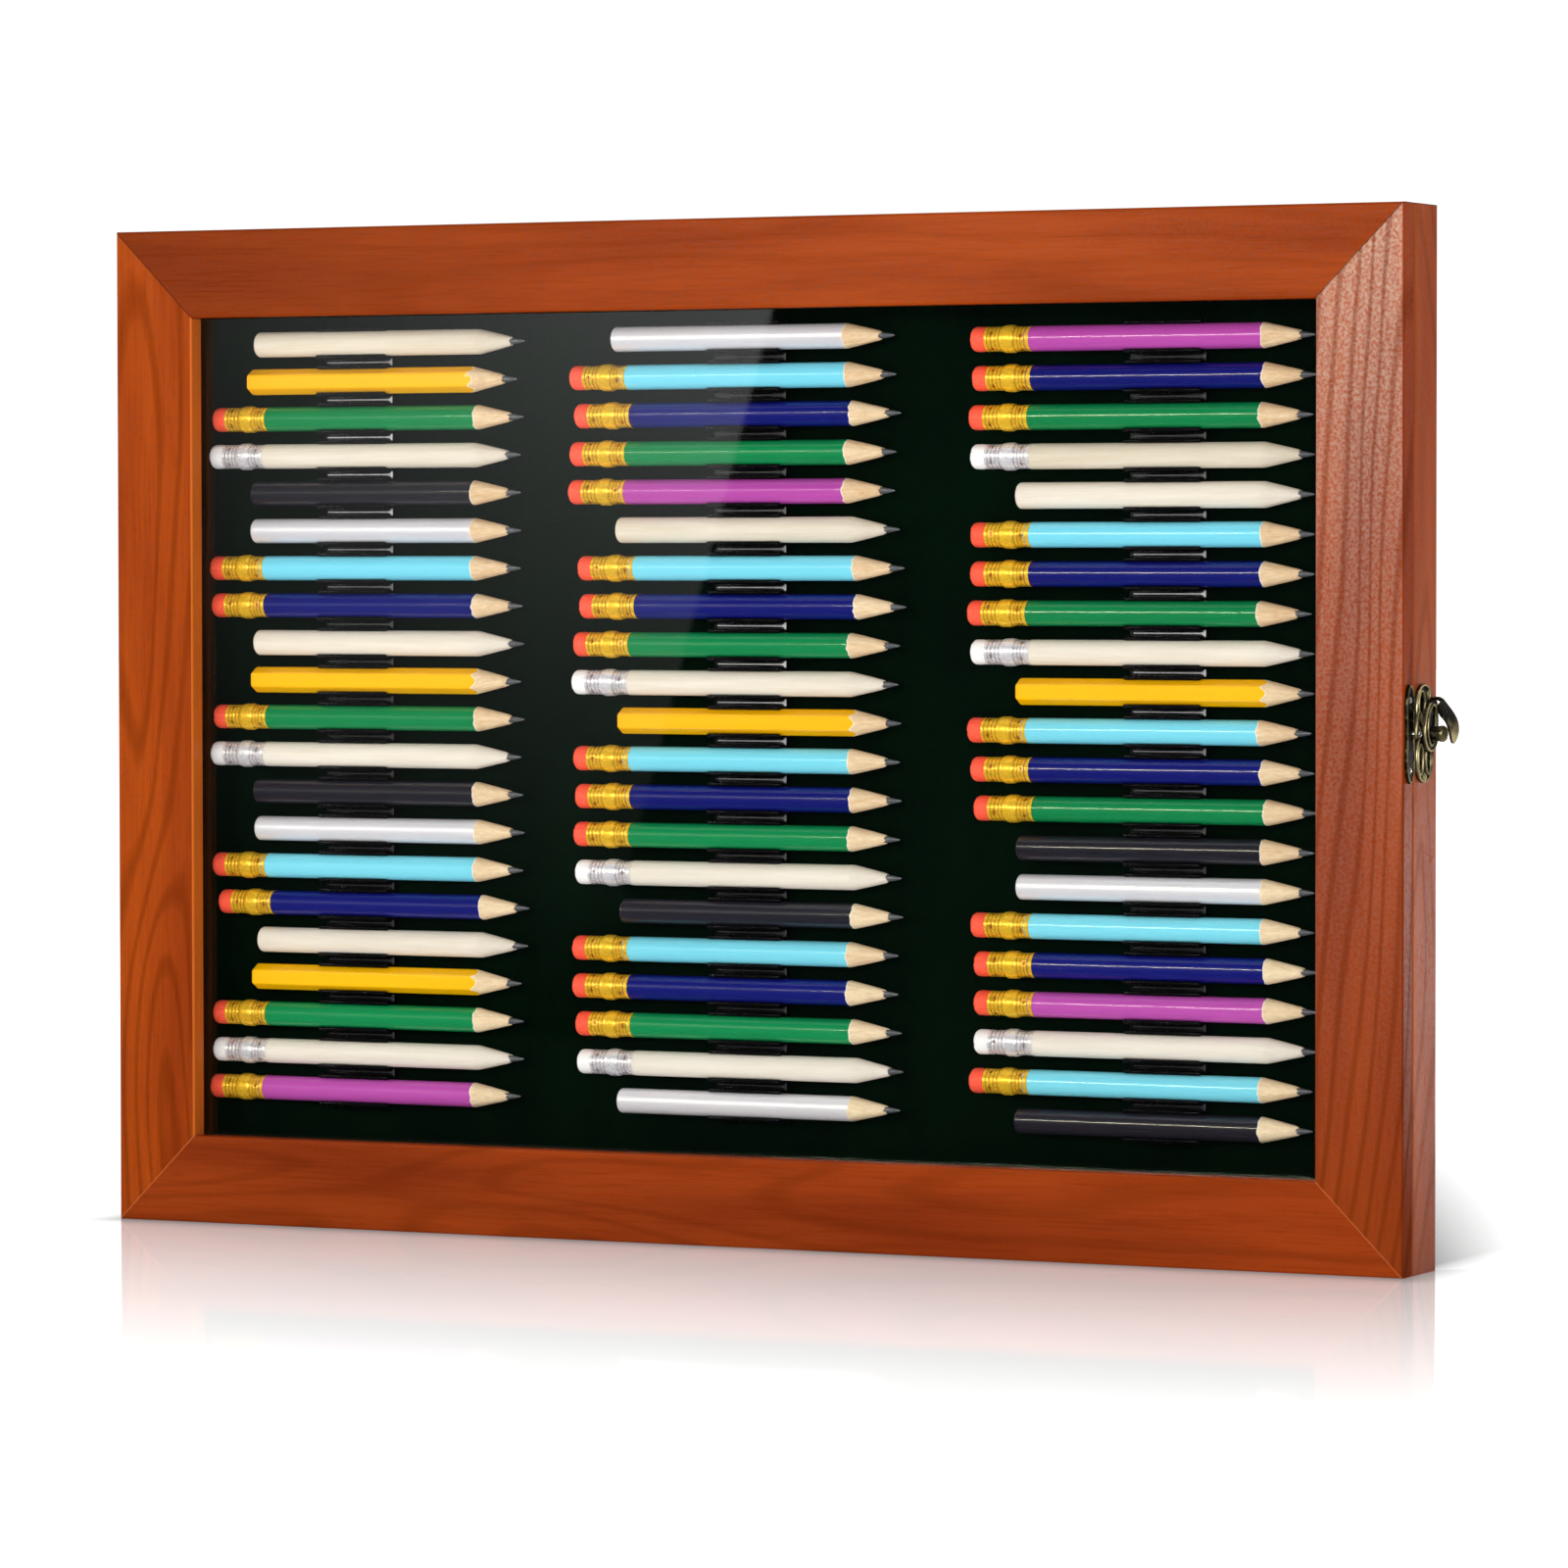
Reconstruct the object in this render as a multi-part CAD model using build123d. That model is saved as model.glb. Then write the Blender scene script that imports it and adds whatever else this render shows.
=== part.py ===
from build123d import *
import os

# Pencil display case, millimetres.
# Origin at the middle of the flat underside. +X is the right-hand side seen from the front,
# +Y is the back, towards the wall, and +Z is up. The glazed door closes the front, at -Y.

# Driving sizes of the case
CASE_WIDTH = 406.4
CASE_HEIGHT = 292.1
CASE_DEPTH = 25.4
DOOR_THICKNESS = 7.0
SEAM = 0.4
MEMBER_WIDTH = 25.7
WALL = 12.0
CLEARANCE = 0.05

# Cutters run past the faces that they cut by this much
OVERCUT = 1.0

FRONT_Y = -CASE_DEPTH / 2
BACK_Y = CASE_DEPTH / 2
DOOR_BACK_Y = FRONT_Y + DOOR_THICKNESS
BOX_FRONT_Y = DOOR_BACK_Y + SEAM
SIDE_X = CASE_WIDTH / 2
MID_Z = CASE_HEIGHT / 2

# Rounded edges of the members
DOOR_FRONT_ROUND = 0.8
DOOR_BACK_ROUND = 0.3
BOX_FRONT_ROUND = 1.0
BOX_BACK_ROUND = 0.6
BOX_INNER_ROUND = 0.4

# Screws and nails: head radius, shank radius, and depth or height of the head
PANEL_SCREW = (2.1, 0.95, 1.2)
RACK_SCREW = (1.9, 0.9, 1.1)
HANGER_SCREW = (1.7, 0.8, 1.0)
HINGE_SCREW = (1.5, 0.75, 0.7)
CLIP_SCREW = (1.6, 0.8, 1.0)
LATCH_SCREW = (1.2, 0.7, 0.7)
LATCH_NAIL = (0.9, 0.5, 0.5)
HOLE_TIP_GAP = 0.2
DOME_SHARE = 0.7

# Acrylic pane, let into the back of the door
PANE_THICKNESS = 1.5
PANE_LAP = 6.0
PANE_PLAY = 0.2
PANE_FRONT_Y = DOOR_BACK_Y - PANE_THICKNESS

# Back of the box
PANEL_THICKNESS = 3.0
PANEL_REBATE = 6.0
PANEL_PLAY = 0.2
PANEL_SCREW_REACH = 8.0
PANEL_SCREWS_X = (-140.0, 0.0, 140.0)
PANEL_SCREWS_Z = (80.0, 212.1)
PANEL_FRONT_Y = BACK_Y - PANEL_THICKNESS
BOARD_THICKNESS = 3.2
FELT_THICKNESS = 1.0
BOARD_FRONT_Y = PANEL_FRONT_Y - BOARD_THICKNESS
FELT_FRONT_Y = BOARD_FRONT_Y - FELT_THICKNESS

# Snap-clip racks: extruded strips, one cradle for each pencil
ROWS = 21
ROW_PITCH = 10.95
TOP_ROW_Z = 258.6
RACK_LENGTH = 23.0
RACK_CENTRES_X = {"left": -130.3, "middle": -2.2, "right": 127.2}
RACK_SHIFTS_Z = {"left": 0.0, "middle": 0.0, "right": -1.6}
CRADLE_Y = FRONT_Y + 13.4
CRADLE_RADIUS = 3.85
CRADLE_WALL = 0.95
LIP_Y = FRONT_Y + 12.1
LIP_BEAD_RADIUS = 0.6
LIP_BEAD_OFFSET = 4.08
WEB_FRONT_Y = FRONT_Y + 16.1
RACK_SCREW_GAPS = (2.5, 9.5, 17.5)
RACK_SCREW_BITE = 0.5

# Golf pencils
PENCIL_RADIUS = 3.6
NATURAL_RADIUS = 3.7
HEX_ACROSS_FLATS = 6.8
HEX_CORNER_RADIUS = 3.8
SHORT_BODY = 74.1
FERRULED_BODY = 70.0
CONE_LENGTH = 10.8
CONE_TIP_RADIUS = 1.15
LEAD_EXPOSED = 4.0
LEAD_RADIUS = 0.95
LEAD_POINT_RADIUS = 0.2
LEAD_BURIED = 5.0
FERRULE_LENGTH = 13.6
FERRULE_RADIUS = 3.6
FERRULE_WALL = 0.25
FERRULE_BEAD = 0.18
FERRULE_BEAD_WIDTH = 0.6
FERRULE_BEADS = (0.10, 0.19, 0.28, 0.72, 0.81, 0.90)
FERRULE_BAND_WIDTH = 3.4
TENON_LENGTH = 6.0
BUTT_CHAMFER = 0.3
ERASER_ROUND = 0.9
ERASER_EXPOSED = 4.6
ERASER_BURIED = 7.0
PLUG_RADIUS = FERRULE_RADIUS - FERRULE_WALL - CLEARANCE

# Where the points of the pencils end, one column of pencils to each rack
POINT_X = {"left": -74.5, "middle": 46.2, "right": 172.1}

# The finishes, top row to bottom row, and how far each pencil has been pushed to the right.
# N natural round wood, Y yellow hexagonal, K black and S silver have no eraser.
# G green, B light blue, V navy and P purple have a brass ferrule and a red eraser.
# W is natural wood with a silver ferrule and a white eraser.
COLUMNS = {
    "left": "NYGWKSBVNYGWKSBVNYGWP",
    "middle": "SBVGPNBVGWYBVGWKBVGWS",
    "right": "PVGWNBVGWYBVGKSBVPWBK",
}
PUSHED_X = {
    "left": (1, -1.5, 0.5, -0.5, -0.5, -0.5, -0.5, 0, 0.5, -0.5, 0.5,
             -0.5, 0, 0.5, 0, 2, 1.5, -0.5, 0, 0, -1),
    "middle": (-1.5, -1, 0.5, -1, -1.5, 0, 1.5, 2, 0, -0.5, 0.5,
               0, 0.5, 0, 0.5, 1, -0.5, -0.5, 0.5, 1, 0),
    "right": (0, 0.5, -0.5, 0, 0, 0, 0, -1, 0, 0, -1,
              0, 1, 0, 0, 0, 1, 1, 1, -0.5, -0.5),
}
FINISH_NODES = {
    "N": "pencils_natural",
    "Y": "pencils_yellow_hex",
    "K": "pencils_black",
    "S": "pencils_silver",
    "G": "pencils_green",
    "W": "pencils_natural_ferruled",
    "B": "pencils_light_blue",
    "V": "pencils_navy",
    "P": "pencils_purple",
}
RED_ERASER_FINISHES = "GBVP"
WHITE_ERASER_FINISHES = "W"

# Butt hinges on the left-hand side
HINGE_LENGTH = 25.0
HINGE_BOTTOMS_Z = {"lower": 50.0, "upper": 217.1}
LEAF_THICKNESS = 0.7
LEAF_WIDTH = 8.9
MORTISE_DEPTH = 0.6
KNUCKLE_RADIUS = 1.7
KNUCKLE_GAP = 0.2
HINGE_PIN_RADIUS = 0.8
HINGE_BORE_RADIUS = 0.84
HINGE_AXIS_X = -SIDE_X - 1.9
HINGE_AXIS_Y = (DOOR_BACK_Y + BOX_FRONT_Y) / 2
HINGE_PIN_HEAD_RADIUS = 1.35
HINGE_PIN_HEAD = 0.6
HINGE_SCREW_INSET = 6.0
HINGE_SCREW_REACH = {"case": 8.0, "door": 5.0}
MORTISE_PLAY = 0.1
LEAF_EDGE_X = -SIDE_X + 0.1
HINGE_SCREW_X = LEAF_EDGE_X + LEAF_WIDTH / 2
INTO_WOOD = {"case": 1, "door": -1}

# Keyhole hanger plates, let in flush with the back
KEYHOLE_SPACING = 304.8
KEYHOLE_ENTRY_RADIUS = 4.5
KEYHOLE_SLOT_RADIUS = 2.25
KEYHOLE_ENTRY_Z = 255.0
KEYHOLE_SLOT_TOP_Z = 266.0
HANGER_THICKNESS = 1.2
HANGER_WIDTH = 14.0
HANGER_BOTTOM_Z = 243.5
HANGER_TOP_Z = 276.5
HANGER_CORNER_RADIUS = 3.0
HANGER_SCREWS_Z = (246.8, 273.2)
HANGER_SCREW_REACH = 4.8
RECESS_PLAY = 0.1
POCKET_WIDTH = 11.0
POCKET_BOTTOM_Z = 250.0
POCKET_TOP_Z = 270.0

# Latch on the right-hand side
LATCH_Z = 147.9
PIVOT_Y = FRONT_Y + 13.8
PLATE_THICKNESS = 0.8
PLATE_HALF_HEIGHT = 13.5
CASE_PLATE_FRONT_Y = BOX_FRONT_Y + 0.2
CASE_PLATE_BACK_Y = FRONT_Y + 20.2
DOOR_PLATE_FRONT_Y = FRONT_Y + 0.9
DOOR_PLATE_BACK_Y = DOOR_BACK_Y - 0.2
LOBE_HALF_HEIGHT = 7.0
WAIST_SHARE = 0.55
LOOP_HALF_SIZES = (1.0, 2.3)
LOOPS = ((-2.6, -7.2), (2.4, -7.2), (-2.6, 8.0))
PIVOT_BOSS_RADIUS = 2.6
LATCH_SCREWS = ((3.0, 10.9), (0.0, -11.4))
LATCH_SCREW_REACH = 5.0
LATCH_NAILS = ((3.0, 9.2), (3.0, -9.8))
LATCH_NAIL_REACH = 6.0
LATCH_PIN_REACH = 5.0
HOOK_INNER_X = SIDE_X + 1.8
HOOK_THICKNESS = 1.1
HOOK_OUTER_X = HOOK_INNER_X + HOOK_THICKNESS
HOOK_EYE_RADIUS = 4.2
HOOK_BORE_RADIUS = 1.65
STUD_SHAFT_RADIUS = 1.6
STUD_HEAD_RADIUS = 2.3
HOOK_PLAY = 0.1
STUD_HEAD_X = HOOK_OUTER_X + HOOK_PLAY
STUD_TIP_X = SIDE_X + 7.5
STUD_TIP_ROUND = 1.2
CATCH_PIN_Y = FRONT_Y + 5.6
CATCH_PIN_RADIUS = 0.8
CATCH_PIN_TIP_X = SIDE_X + 3.2
CLAW_INNER_RADIUS = 9.25
CLAW_OUTER_RADIUS = 10.4
CLAW_ARM_ANGLES = (132.0, 154.0)
CLAW_ANGLES = (150.0, 188.0)
ARM_HEIGHT = 7.6
TAB_WIDTH = 4.4
TAB_CURL_RADIUS = 2.0
TAB_CURL_TURN = 140.0
TAB_BLADE_RADIUS = 13.0
TAB_BLADE_TURN = 54.0

# Small tabs over the edge of the pane, each held by one screw
CLIP_THICKNESS = 0.8
CLIP_HALF_WIDTH = 4.0
CLIP_BEHIND_SCREW = 2.7
CLIP_TO_PANE = 6.3
CLIP_CORNER_RADIUS = 1.2
CLIP_SCREW_INSET = 3.0
CLIP_SCREW_REACH = 4.2
CLIPS_X = (-100.0, 100.0)
CLIPS_FROM_MID_Z = (-60.0, 60.0)


def rod(radius, start, end):
    """A round bar from one point to another."""
    line = Vector(*end) - Vector(*start)
    plane = Plane(origin=start, z_dir=line)
    return extrude(plane * Circle(radius), line.length)


def block(x, y, z):
    """A box between two values on each axis."""
    centre = Pos((x[0] + x[1]) / 2, (y[0] + y[1]) / 2, (z[0] + z[1]) / 2)
    return centre * Box(abs(x[1] - x[0]), abs(y[1] - y[0]), abs(z[1] - z[0]))


def countersunk_screw(head, tip, size, play=0.0):
    """A flat-head screw, or the hole for it when play is more than nothing."""
    head_radius, shank_radius, head_depth = size
    axis = (Vector(*tip) - Vector(*head)).normalized()
    plane = Plane(origin=head, z_dir=axis)
    cone = loft([
        plane * Circle(head_radius + play),
        plane.offset(head_depth) * Circle(shank_radius + play),
    ])
    start = Vector(*head) + axis * (head_depth / 2)
    end = Vector(*tip) + axis * (2 * play)
    return cone + rod(shank_radius + play, tuple(start), tuple(end))


def round_head_screw(seat, tip, size):
    """A screw or nail with a domed head that stands on the surface at seat."""
    head_radius, shank_radius, head_height = size
    axis = (Vector(*tip) - Vector(*seat)).normalized()
    top = Vector(*seat) - axis * head_height
    head = rod(head_radius, tuple(top), seat)
    dome_edge = head.edges().filter_by(GeomType.CIRCLE).sort_by_distance(top)[0]
    head = fillet(dome_edge, head_height * DOME_SHARE)
    return head + rod(shank_radius, seat, tip)


def group(solids):
    """Several separate solids that share one node."""
    return Compound(children=[Compound(children=list(piece.solids())) for piece in solids])


# Frame members. A member is made along the bottom of the frame, with its outer edge at Z = 0,
# mitred at both ends, and is then turned or mirrored to its own side.
def bottom_member(section, length, width):
    bar = extrude(Plane.YZ * section, length / 2, both=True)
    mitre = Plane.XZ * Polygon(
        (-length / 2, 0),
        (length / 2, 0),
        (length / 2 - width, width),
        (-length / 2 + width, width),
        align=None,
    )
    return bar & extrude(mitre, CASE_DEPTH, both=True)


def four_members(section, width):
    """Bottom, top, left and right members of a mitred frame."""
    bottom = bottom_member(section, CASE_WIDTH, width)
    top = mirror(bottom, Plane.XY.offset(MID_Z))
    left = Pos(-SIDE_X, 0, MID_Z) * (Rot(0, 90, 0) * bottom_member(section, CASE_HEIGHT, width))
    right = mirror(left, Plane.YZ)
    return bottom, top, left, right


def rounded(section, corner, radius):
    """The section with one corner rounded."""
    vertex = section.vertices().sort_by_distance((corner[0], corner[1], 0))[0]
    return fillet(vertex, radius)


def door_section():
    """Section of a door member, Y across and Z up from the outer edge."""
    rebate_z = MEMBER_WIDTH - PANE_LAP
    section = Polygon(
        (FRONT_Y, 0),
        (DOOR_BACK_Y, 0),
        (DOOR_BACK_Y, rebate_z),
        (PANE_FRONT_Y, rebate_z),
        (PANE_FRONT_Y, MEMBER_WIDTH),
        (FRONT_Y, MEMBER_WIDTH),
        align=None,
    )
    section = rounded(section, (FRONT_Y, 0), DOOR_FRONT_ROUND)
    section = rounded(section, (FRONT_Y, MEMBER_WIDTH), DOOR_FRONT_ROUND)
    return rounded(section, (DOOR_BACK_Y, 0), DOOR_BACK_ROUND)


def box_section():
    """Section of a box rail, with the rebate for the back panel."""
    rebate_z = WALL - PANEL_REBATE
    section = Polygon(
        (BOX_FRONT_Y, 0),
        (BACK_Y, 0),
        (BACK_Y, rebate_z),
        (PANEL_FRONT_Y, rebate_z),
        (PANEL_FRONT_Y, WALL),
        (BOX_FRONT_Y, WALL),
        align=None,
    )
    section = rounded(section, (BOX_FRONT_Y, 0), BOX_FRONT_ROUND)
    section = rounded(section, (BACK_Y, 0), BOX_BACK_ROUND)
    return rounded(section, (BOX_FRONT_Y, WALL), BOX_INNER_ROUND)


# Hinges
def hinge_parts(bottom_z):
    """Case leaf, door leaf, pin, case screws and door screws of one butt hinge."""
    top_z = bottom_z + HINGE_LENGTH
    third = HINGE_LENGTH / 3
    spans = {
        "case": ((bottom_z, bottom_z + third - KNUCKLE_GAP / 2), (top_z - third + KNUCKLE_GAP / 2, top_z)),
        "door": ((bottom_z + third + KNUCKLE_GAP / 2, top_z - third - KNUCKLE_GAP / 2),),
    }
    faces_y = {
        "case": (BOX_FRONT_Y + MORTISE_DEPTH - LEAF_THICKNESS, BOX_FRONT_Y + MORTISE_DEPTH),
        "door": (DOOR_BACK_Y - MORTISE_DEPTH, DOOR_BACK_Y - MORTISE_DEPTH + LEAF_THICKNESS),
    }
    leaves = {}
    for side, leaf_y in faces_y.items():
        leaf = block((LEAF_EDGE_X, LEAF_EDGE_X + LEAF_WIDTH), leaf_y, (bottom_z, top_z))
        for span in spans[side]:
            leaf += block((HINGE_AXIS_X, LEAF_EDGE_X), leaf_y, span)
            leaf += knuckle(KNUCKLE_RADIUS, span)
        leaves[side] = leaf - knuckle(HINGE_BORE_RADIUS, (bottom_z - OVERCUT, top_z + OVERCUT))

    screws = {"case": [], "door": []}
    for screw_z in hinge_screw_heights(bottom_z):
        heads_y = {"case": faces_y["case"][0], "door": faces_y["door"][1]}
        for side, head_y in heads_y.items():
            head = (HINGE_SCREW_X, head_y, screw_z)
            tip = (HINGE_SCREW_X, head_y + INTO_WOOD[side] * HINGE_SCREW_REACH[side], screw_z)
            leaves[side] -= countersunk_screw(head, tip, HINGE_SCREW, CLEARANCE)
            screws[side].append(countersunk_screw(head, tip, HINGE_SCREW))

    pin = knuckle(HINGE_PIN_RADIUS, (bottom_z, top_z))
    pin += knuckle(HINGE_PIN_HEAD_RADIUS, (bottom_z - HINGE_PIN_HEAD, bottom_z))
    pin += knuckle(HINGE_PIN_HEAD_RADIUS, (top_z, top_z + HINGE_PIN_HEAD))
    return leaves["case"], leaves["door"], pin, screws["case"], screws["door"]


def hinge_screw_heights(bottom_z):
    return bottom_z + HINGE_SCREW_INSET, bottom_z + HINGE_LENGTH - HINGE_SCREW_INSET


def knuckle(radius, span):
    """A round piece on the hinge axis between two heights."""
    return rod(radius, (HINGE_AXIS_X, HINGE_AXIS_Y, span[0]), (HINGE_AXIS_X, HINGE_AXIS_Y, span[1]))


def mortise(bottom_z, face_y, floor_y):
    """The shallow recess that a hinge leaf lies in."""
    x = (-SIDE_X - OVERCUT, LEAF_EDGE_X + LEAF_WIDTH + MORTISE_PLAY)
    z = (bottom_z - MORTISE_PLAY, bottom_z + HINGE_LENGTH + MORTISE_PLAY)
    return block(x, (face_y, floor_y), z)


# Racks
def row_z(row):
    """Height of the middle of a row, counted from 0 at the top."""
    return TOP_ROW_Z - row * ROW_PITCH


def rack_profile():
    """Side view of a rack: a web with one open round cradle in front of it for each row."""
    outer = CRADLE_RADIUS + CRADLE_WALL
    top_z = row_z(0) + outer
    bottom_z = row_z(ROWS - 1) - outer
    web = Pos((WEB_FRONT_Y + FELT_FRONT_Y) / 2, (top_z + bottom_z) / 2) * Rectangle(
        FELT_FRONT_Y - WEB_FRONT_Y, top_z - bottom_z)
    profile = web
    for row in range(ROWS):
        profile += Pos(CRADLE_Y, row_z(row)) * Circle(outer)
    waste = Rectangle(CASE_DEPTH, top_z - bottom_z + 2 * OVERCUT)
    profile -= Pos(LIP_Y - CASE_DEPTH / 2, (top_z + bottom_z) / 2) * waste
    profile -= Pos(FELT_FRONT_Y + CASE_DEPTH / 2, (top_z + bottom_z) / 2) * waste
    for row in range(ROWS):
        profile -= Pos(CRADLE_Y, row_z(row)) * Circle(CRADLE_RADIUS)
    for row in range(ROWS):
        for side in (-1, 1):
            profile += Pos(LIP_Y, row_z(row) + side * LIP_BEAD_OFFSET) * Circle(LIP_BEAD_RADIUS)
    return profile


def rack_screw_places(column):
    """Heads and tips of the screws that come through the board into one rack."""
    centre_x = RACK_CENTRES_X[column]
    for gap in RACK_SCREW_GAPS:
        screw_z = row_z(gap) + RACK_SHIFTS_Z[column]
        yield (centre_x, PANEL_FRONT_Y, screw_z), (centre_x, WEB_FRONT_Y + RACK_SCREW_BITE, screw_z)


# Pencils. Each piece is made with the pencil's axis on X and its point at X = 0.
def cone_end(section_radius):
    """The sharpened wood, wide enough at its root to take in the whole body."""
    slope = (section_radius - CONE_TIP_RADIUS) / CONE_LENGTH
    reach = CONE_LENGTH + SHORT_BODY
    wide = CONE_TIP_RADIUS + slope * reach
    start_x = -LEAD_EXPOSED - reach
    return loft([
        Plane(origin=(start_x, 0, 0), z_dir=(1, 0, 0)) * Circle(wide),
        Plane(origin=(-LEAD_EXPOSED, 0, 0), z_dir=(1, 0, 0)) * Circle(CONE_TIP_RADIUS),
    ])


def pencil_barrel(radius, body, tenon):
    """A round barrel with its cone, its lead hole and, under a ferrule, its tenon."""
    butt_x = -LEAD_EXPOSED - CONE_LENGTH - body
    barrel = rod(radius, (butt_x, 0, 0), (-LEAD_EXPOSED, 0, 0)) & cone_end(radius)
    barrel = barrel.solids()[0]
    butt_edge = barrel.edges().filter_by(GeomType.CIRCLE).sort_by(Axis.X)[0]
    barrel = chamfer(butt_edge, BUTT_CHAMFER)
    if tenon:
        barrel += rod(PLUG_RADIUS, (butt_x - TENON_LENGTH, 0, 0), (butt_x + OVERCUT, 0, 0))
    return barrel - lead_hole()


def hexagonal_barrel():
    """A hexagonal barrel with softened corners, one corner up and one down."""
    butt_x = -LEAD_EXPOSED - CONE_LENGTH - SHORT_BODY
    plane = Plane(origin=(butt_x, 0, 0), x_dir=(0, 0, 1), z_dir=(1, 0, 0))
    section = RegularPolygon(HEX_ACROSS_FLATS / 2, 6, major_radius=False) & Circle(HEX_CORNER_RADIUS)
    bar = extrude(plane * section, SHORT_BODY + CONE_LENGTH)
    return (bar & cone_end(HEX_CORNER_RADIUS)) - lead_hole()


def lead_hole():
    start_x = -LEAD_EXPOSED - LEAD_BURIED - CLEARANCE
    return rod(LEAD_RADIUS + CLEARANCE, (start_x, 0, 0), (0, 0, 0))


def pencil_lead():
    """The core in the cone and the sharpened point in front of it."""
    core = rod(LEAD_RADIUS, (-LEAD_EXPOSED - LEAD_BURIED, 0, 0), (-LEAD_EXPOSED, 0, 0))
    point = loft([
        Plane(origin=(-LEAD_EXPOSED, 0, 0), z_dir=(1, 0, 0)) * Circle(LEAD_RADIUS),
        Plane(origin=(0, 0, 0), z_dir=(1, 0, 0)) * Circle(LEAD_POINT_RADIUS),
    ])
    return core + point


def ferrule():
    """A thin crimped tube with fine rings at both ends and a wider raised band between them."""
    end_x = -LEAD_EXPOSED - CONE_LENGTH - FERRULED_BODY
    start_x = end_x - FERRULE_LENGTH
    tube = rod(FERRULE_RADIUS, (start_x, 0, 0), (end_x, 0, 0))
    ring_radius = FERRULE_RADIUS + FERRULE_BEAD
    rings = [(place, FERRULE_BEAD_WIDTH) for place in FERRULE_BEADS]
    rings.append((0.5, FERRULE_BAND_WIDTH))
    for place, width in rings:
        middle_x = start_x + place * FERRULE_LENGTH
        tube += rod(ring_radius, (middle_x - width / 2, 0, 0), (middle_x + width / 2, 0, 0))
    bore_radius = FERRULE_RADIUS - FERRULE_WALL
    return tube - rod(bore_radius, (start_x - OVERCUT, 0, 0), (end_x + OVERCUT, 0, 0))


def eraser():
    """A round plug with a softened end."""
    ferrule_start_x = -LEAD_EXPOSED - CONE_LENGTH - FERRULED_BODY - FERRULE_LENGTH
    end_x = ferrule_start_x - ERASER_EXPOSED
    plug = rod(PLUG_RADIUS, (end_x, 0, 0), (ferrule_start_x + ERASER_BURIED, 0, 0))
    end_edge = plug.edges().filter_by(GeomType.CIRCLE).sort_by(Axis.X)[0]
    return fillet(end_edge, ERASER_ROUND)


def pencil_places():
    """Finish and place of the point of every pencil, as finish, x and z."""
    for column, finishes in COLUMNS.items():
        for row, finish in enumerate(finishes):
            yield finish, POINT_X[column] + PUSHED_X[column][row], row_z(row) + RACK_SHIFTS_Z[column]


def seat_y(radius):
    """Where the axis of a pencil of this radius lies when it is pressed into its cradle."""
    return CRADLE_Y + CRADLE_RADIUS - radius - CLEARANCE


# Latch
def side_plane(x):
    """A drawing plane that faces the right-hand side: across is +Y and up is +Z."""
    return Plane(origin=(x, 0, 0), x_dir=(0, 1, 0), z_dir=(1, 0, 0))


def waisted_plate(front_y, back_y, lobe_offset):
    """Outline of a latch plate: two rounded lobes, one above the other, with a waist."""
    middle_y = (front_y + back_y) / 2
    half_width = (back_y - front_y) / 2
    outline = Pos(middle_y, LATCH_Z) * Rectangle(2 * half_width * WAIST_SHARE, LOBE_HALF_HEIGHT * 2)
    for side in (-1, 1):
        lobe = Ellipse(half_width, LOBE_HALF_HEIGHT)
        outline += Pos(middle_y, LATCH_Z + side * lobe_offset) * lobe
    return outline


def case_latch_plate():
    """Plate on the box, pierced by two loops below the hook and one above it."""
    lobe_offset = PLATE_HALF_HEIGHT - LOBE_HALF_HEIGHT
    outline = waisted_plate(CASE_PLATE_FRONT_Y, CASE_PLATE_BACK_Y, lobe_offset)
    for loop_y, loop_z in LOOPS:
        outline -= Pos(PIVOT_Y + loop_y, LATCH_Z + loop_z) * Ellipse(*LOOP_HALF_SIZES)
    plate = extrude(side_plane(SIDE_X) * outline, PLATE_THICKNESS)
    boss = Pos(PIVOT_Y, LATCH_Z) * Circle(PIVOT_BOSS_RADIUS)
    plate += extrude(side_plane(SIDE_X) * boss, HOOK_INNER_X - SIDE_X - HOOK_PLAY)
    return plate - rod(STUD_SHAFT_RADIUS + CLEARANCE,
                       (SIDE_X - OVERCUT, PIVOT_Y, LATCH_Z), (HOOK_INNER_X, PIVOT_Y, LATCH_Z))


def door_latch_plate():
    """Plate on the edge of the door, with the hole for the catch pin."""
    lobe_offset = PLATE_HALF_HEIGHT - LOBE_HALF_HEIGHT
    outline = waisted_plate(DOOR_PLATE_FRONT_Y, DOOR_PLATE_BACK_Y, lobe_offset)
    outline -= Pos(CATCH_PIN_Y, LATCH_Z) * Circle(CATCH_PIN_RADIUS + CLEARANCE)
    return extrude(side_plane(SIDE_X) * outline, PLATE_THICKNESS)


def latch_stud():
    """The shouldered pin that the hook turns on, with its long round head."""
    shaft = rod(STUD_SHAFT_RADIUS, (SIDE_X - LATCH_PIN_REACH, PIVOT_Y, LATCH_Z),
                (STUD_HEAD_X, PIVOT_Y, LATCH_Z))
    head = rod(STUD_HEAD_RADIUS, (STUD_HEAD_X, PIVOT_Y, LATCH_Z), (STUD_TIP_X, PIVOT_Y, LATCH_Z))
    tip_edge = head.edges().filter_by(GeomType.CIRCLE).sort_by(Axis.X)[-1]
    return shaft + fillet(tip_edge, STUD_TIP_ROUND)


def ring_sector(inner, outer, start_angle, end_angle):
    """Part of a flat ring about the pivot, with angles from +Y towards +Z."""
    reach = 2 * outer
    middle_angle = (start_angle + end_angle) / 2
    corners = [(0, 0)]
    for angle in (start_angle, middle_angle, end_angle):
        corner = Vector(reach, 0).rotate(Axis.Z, angle)
        corners.append((corner.X, corner.Y))
    return (Circle(outer) - Circle(inner)) & Polygon(*corners, align=None)


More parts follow.
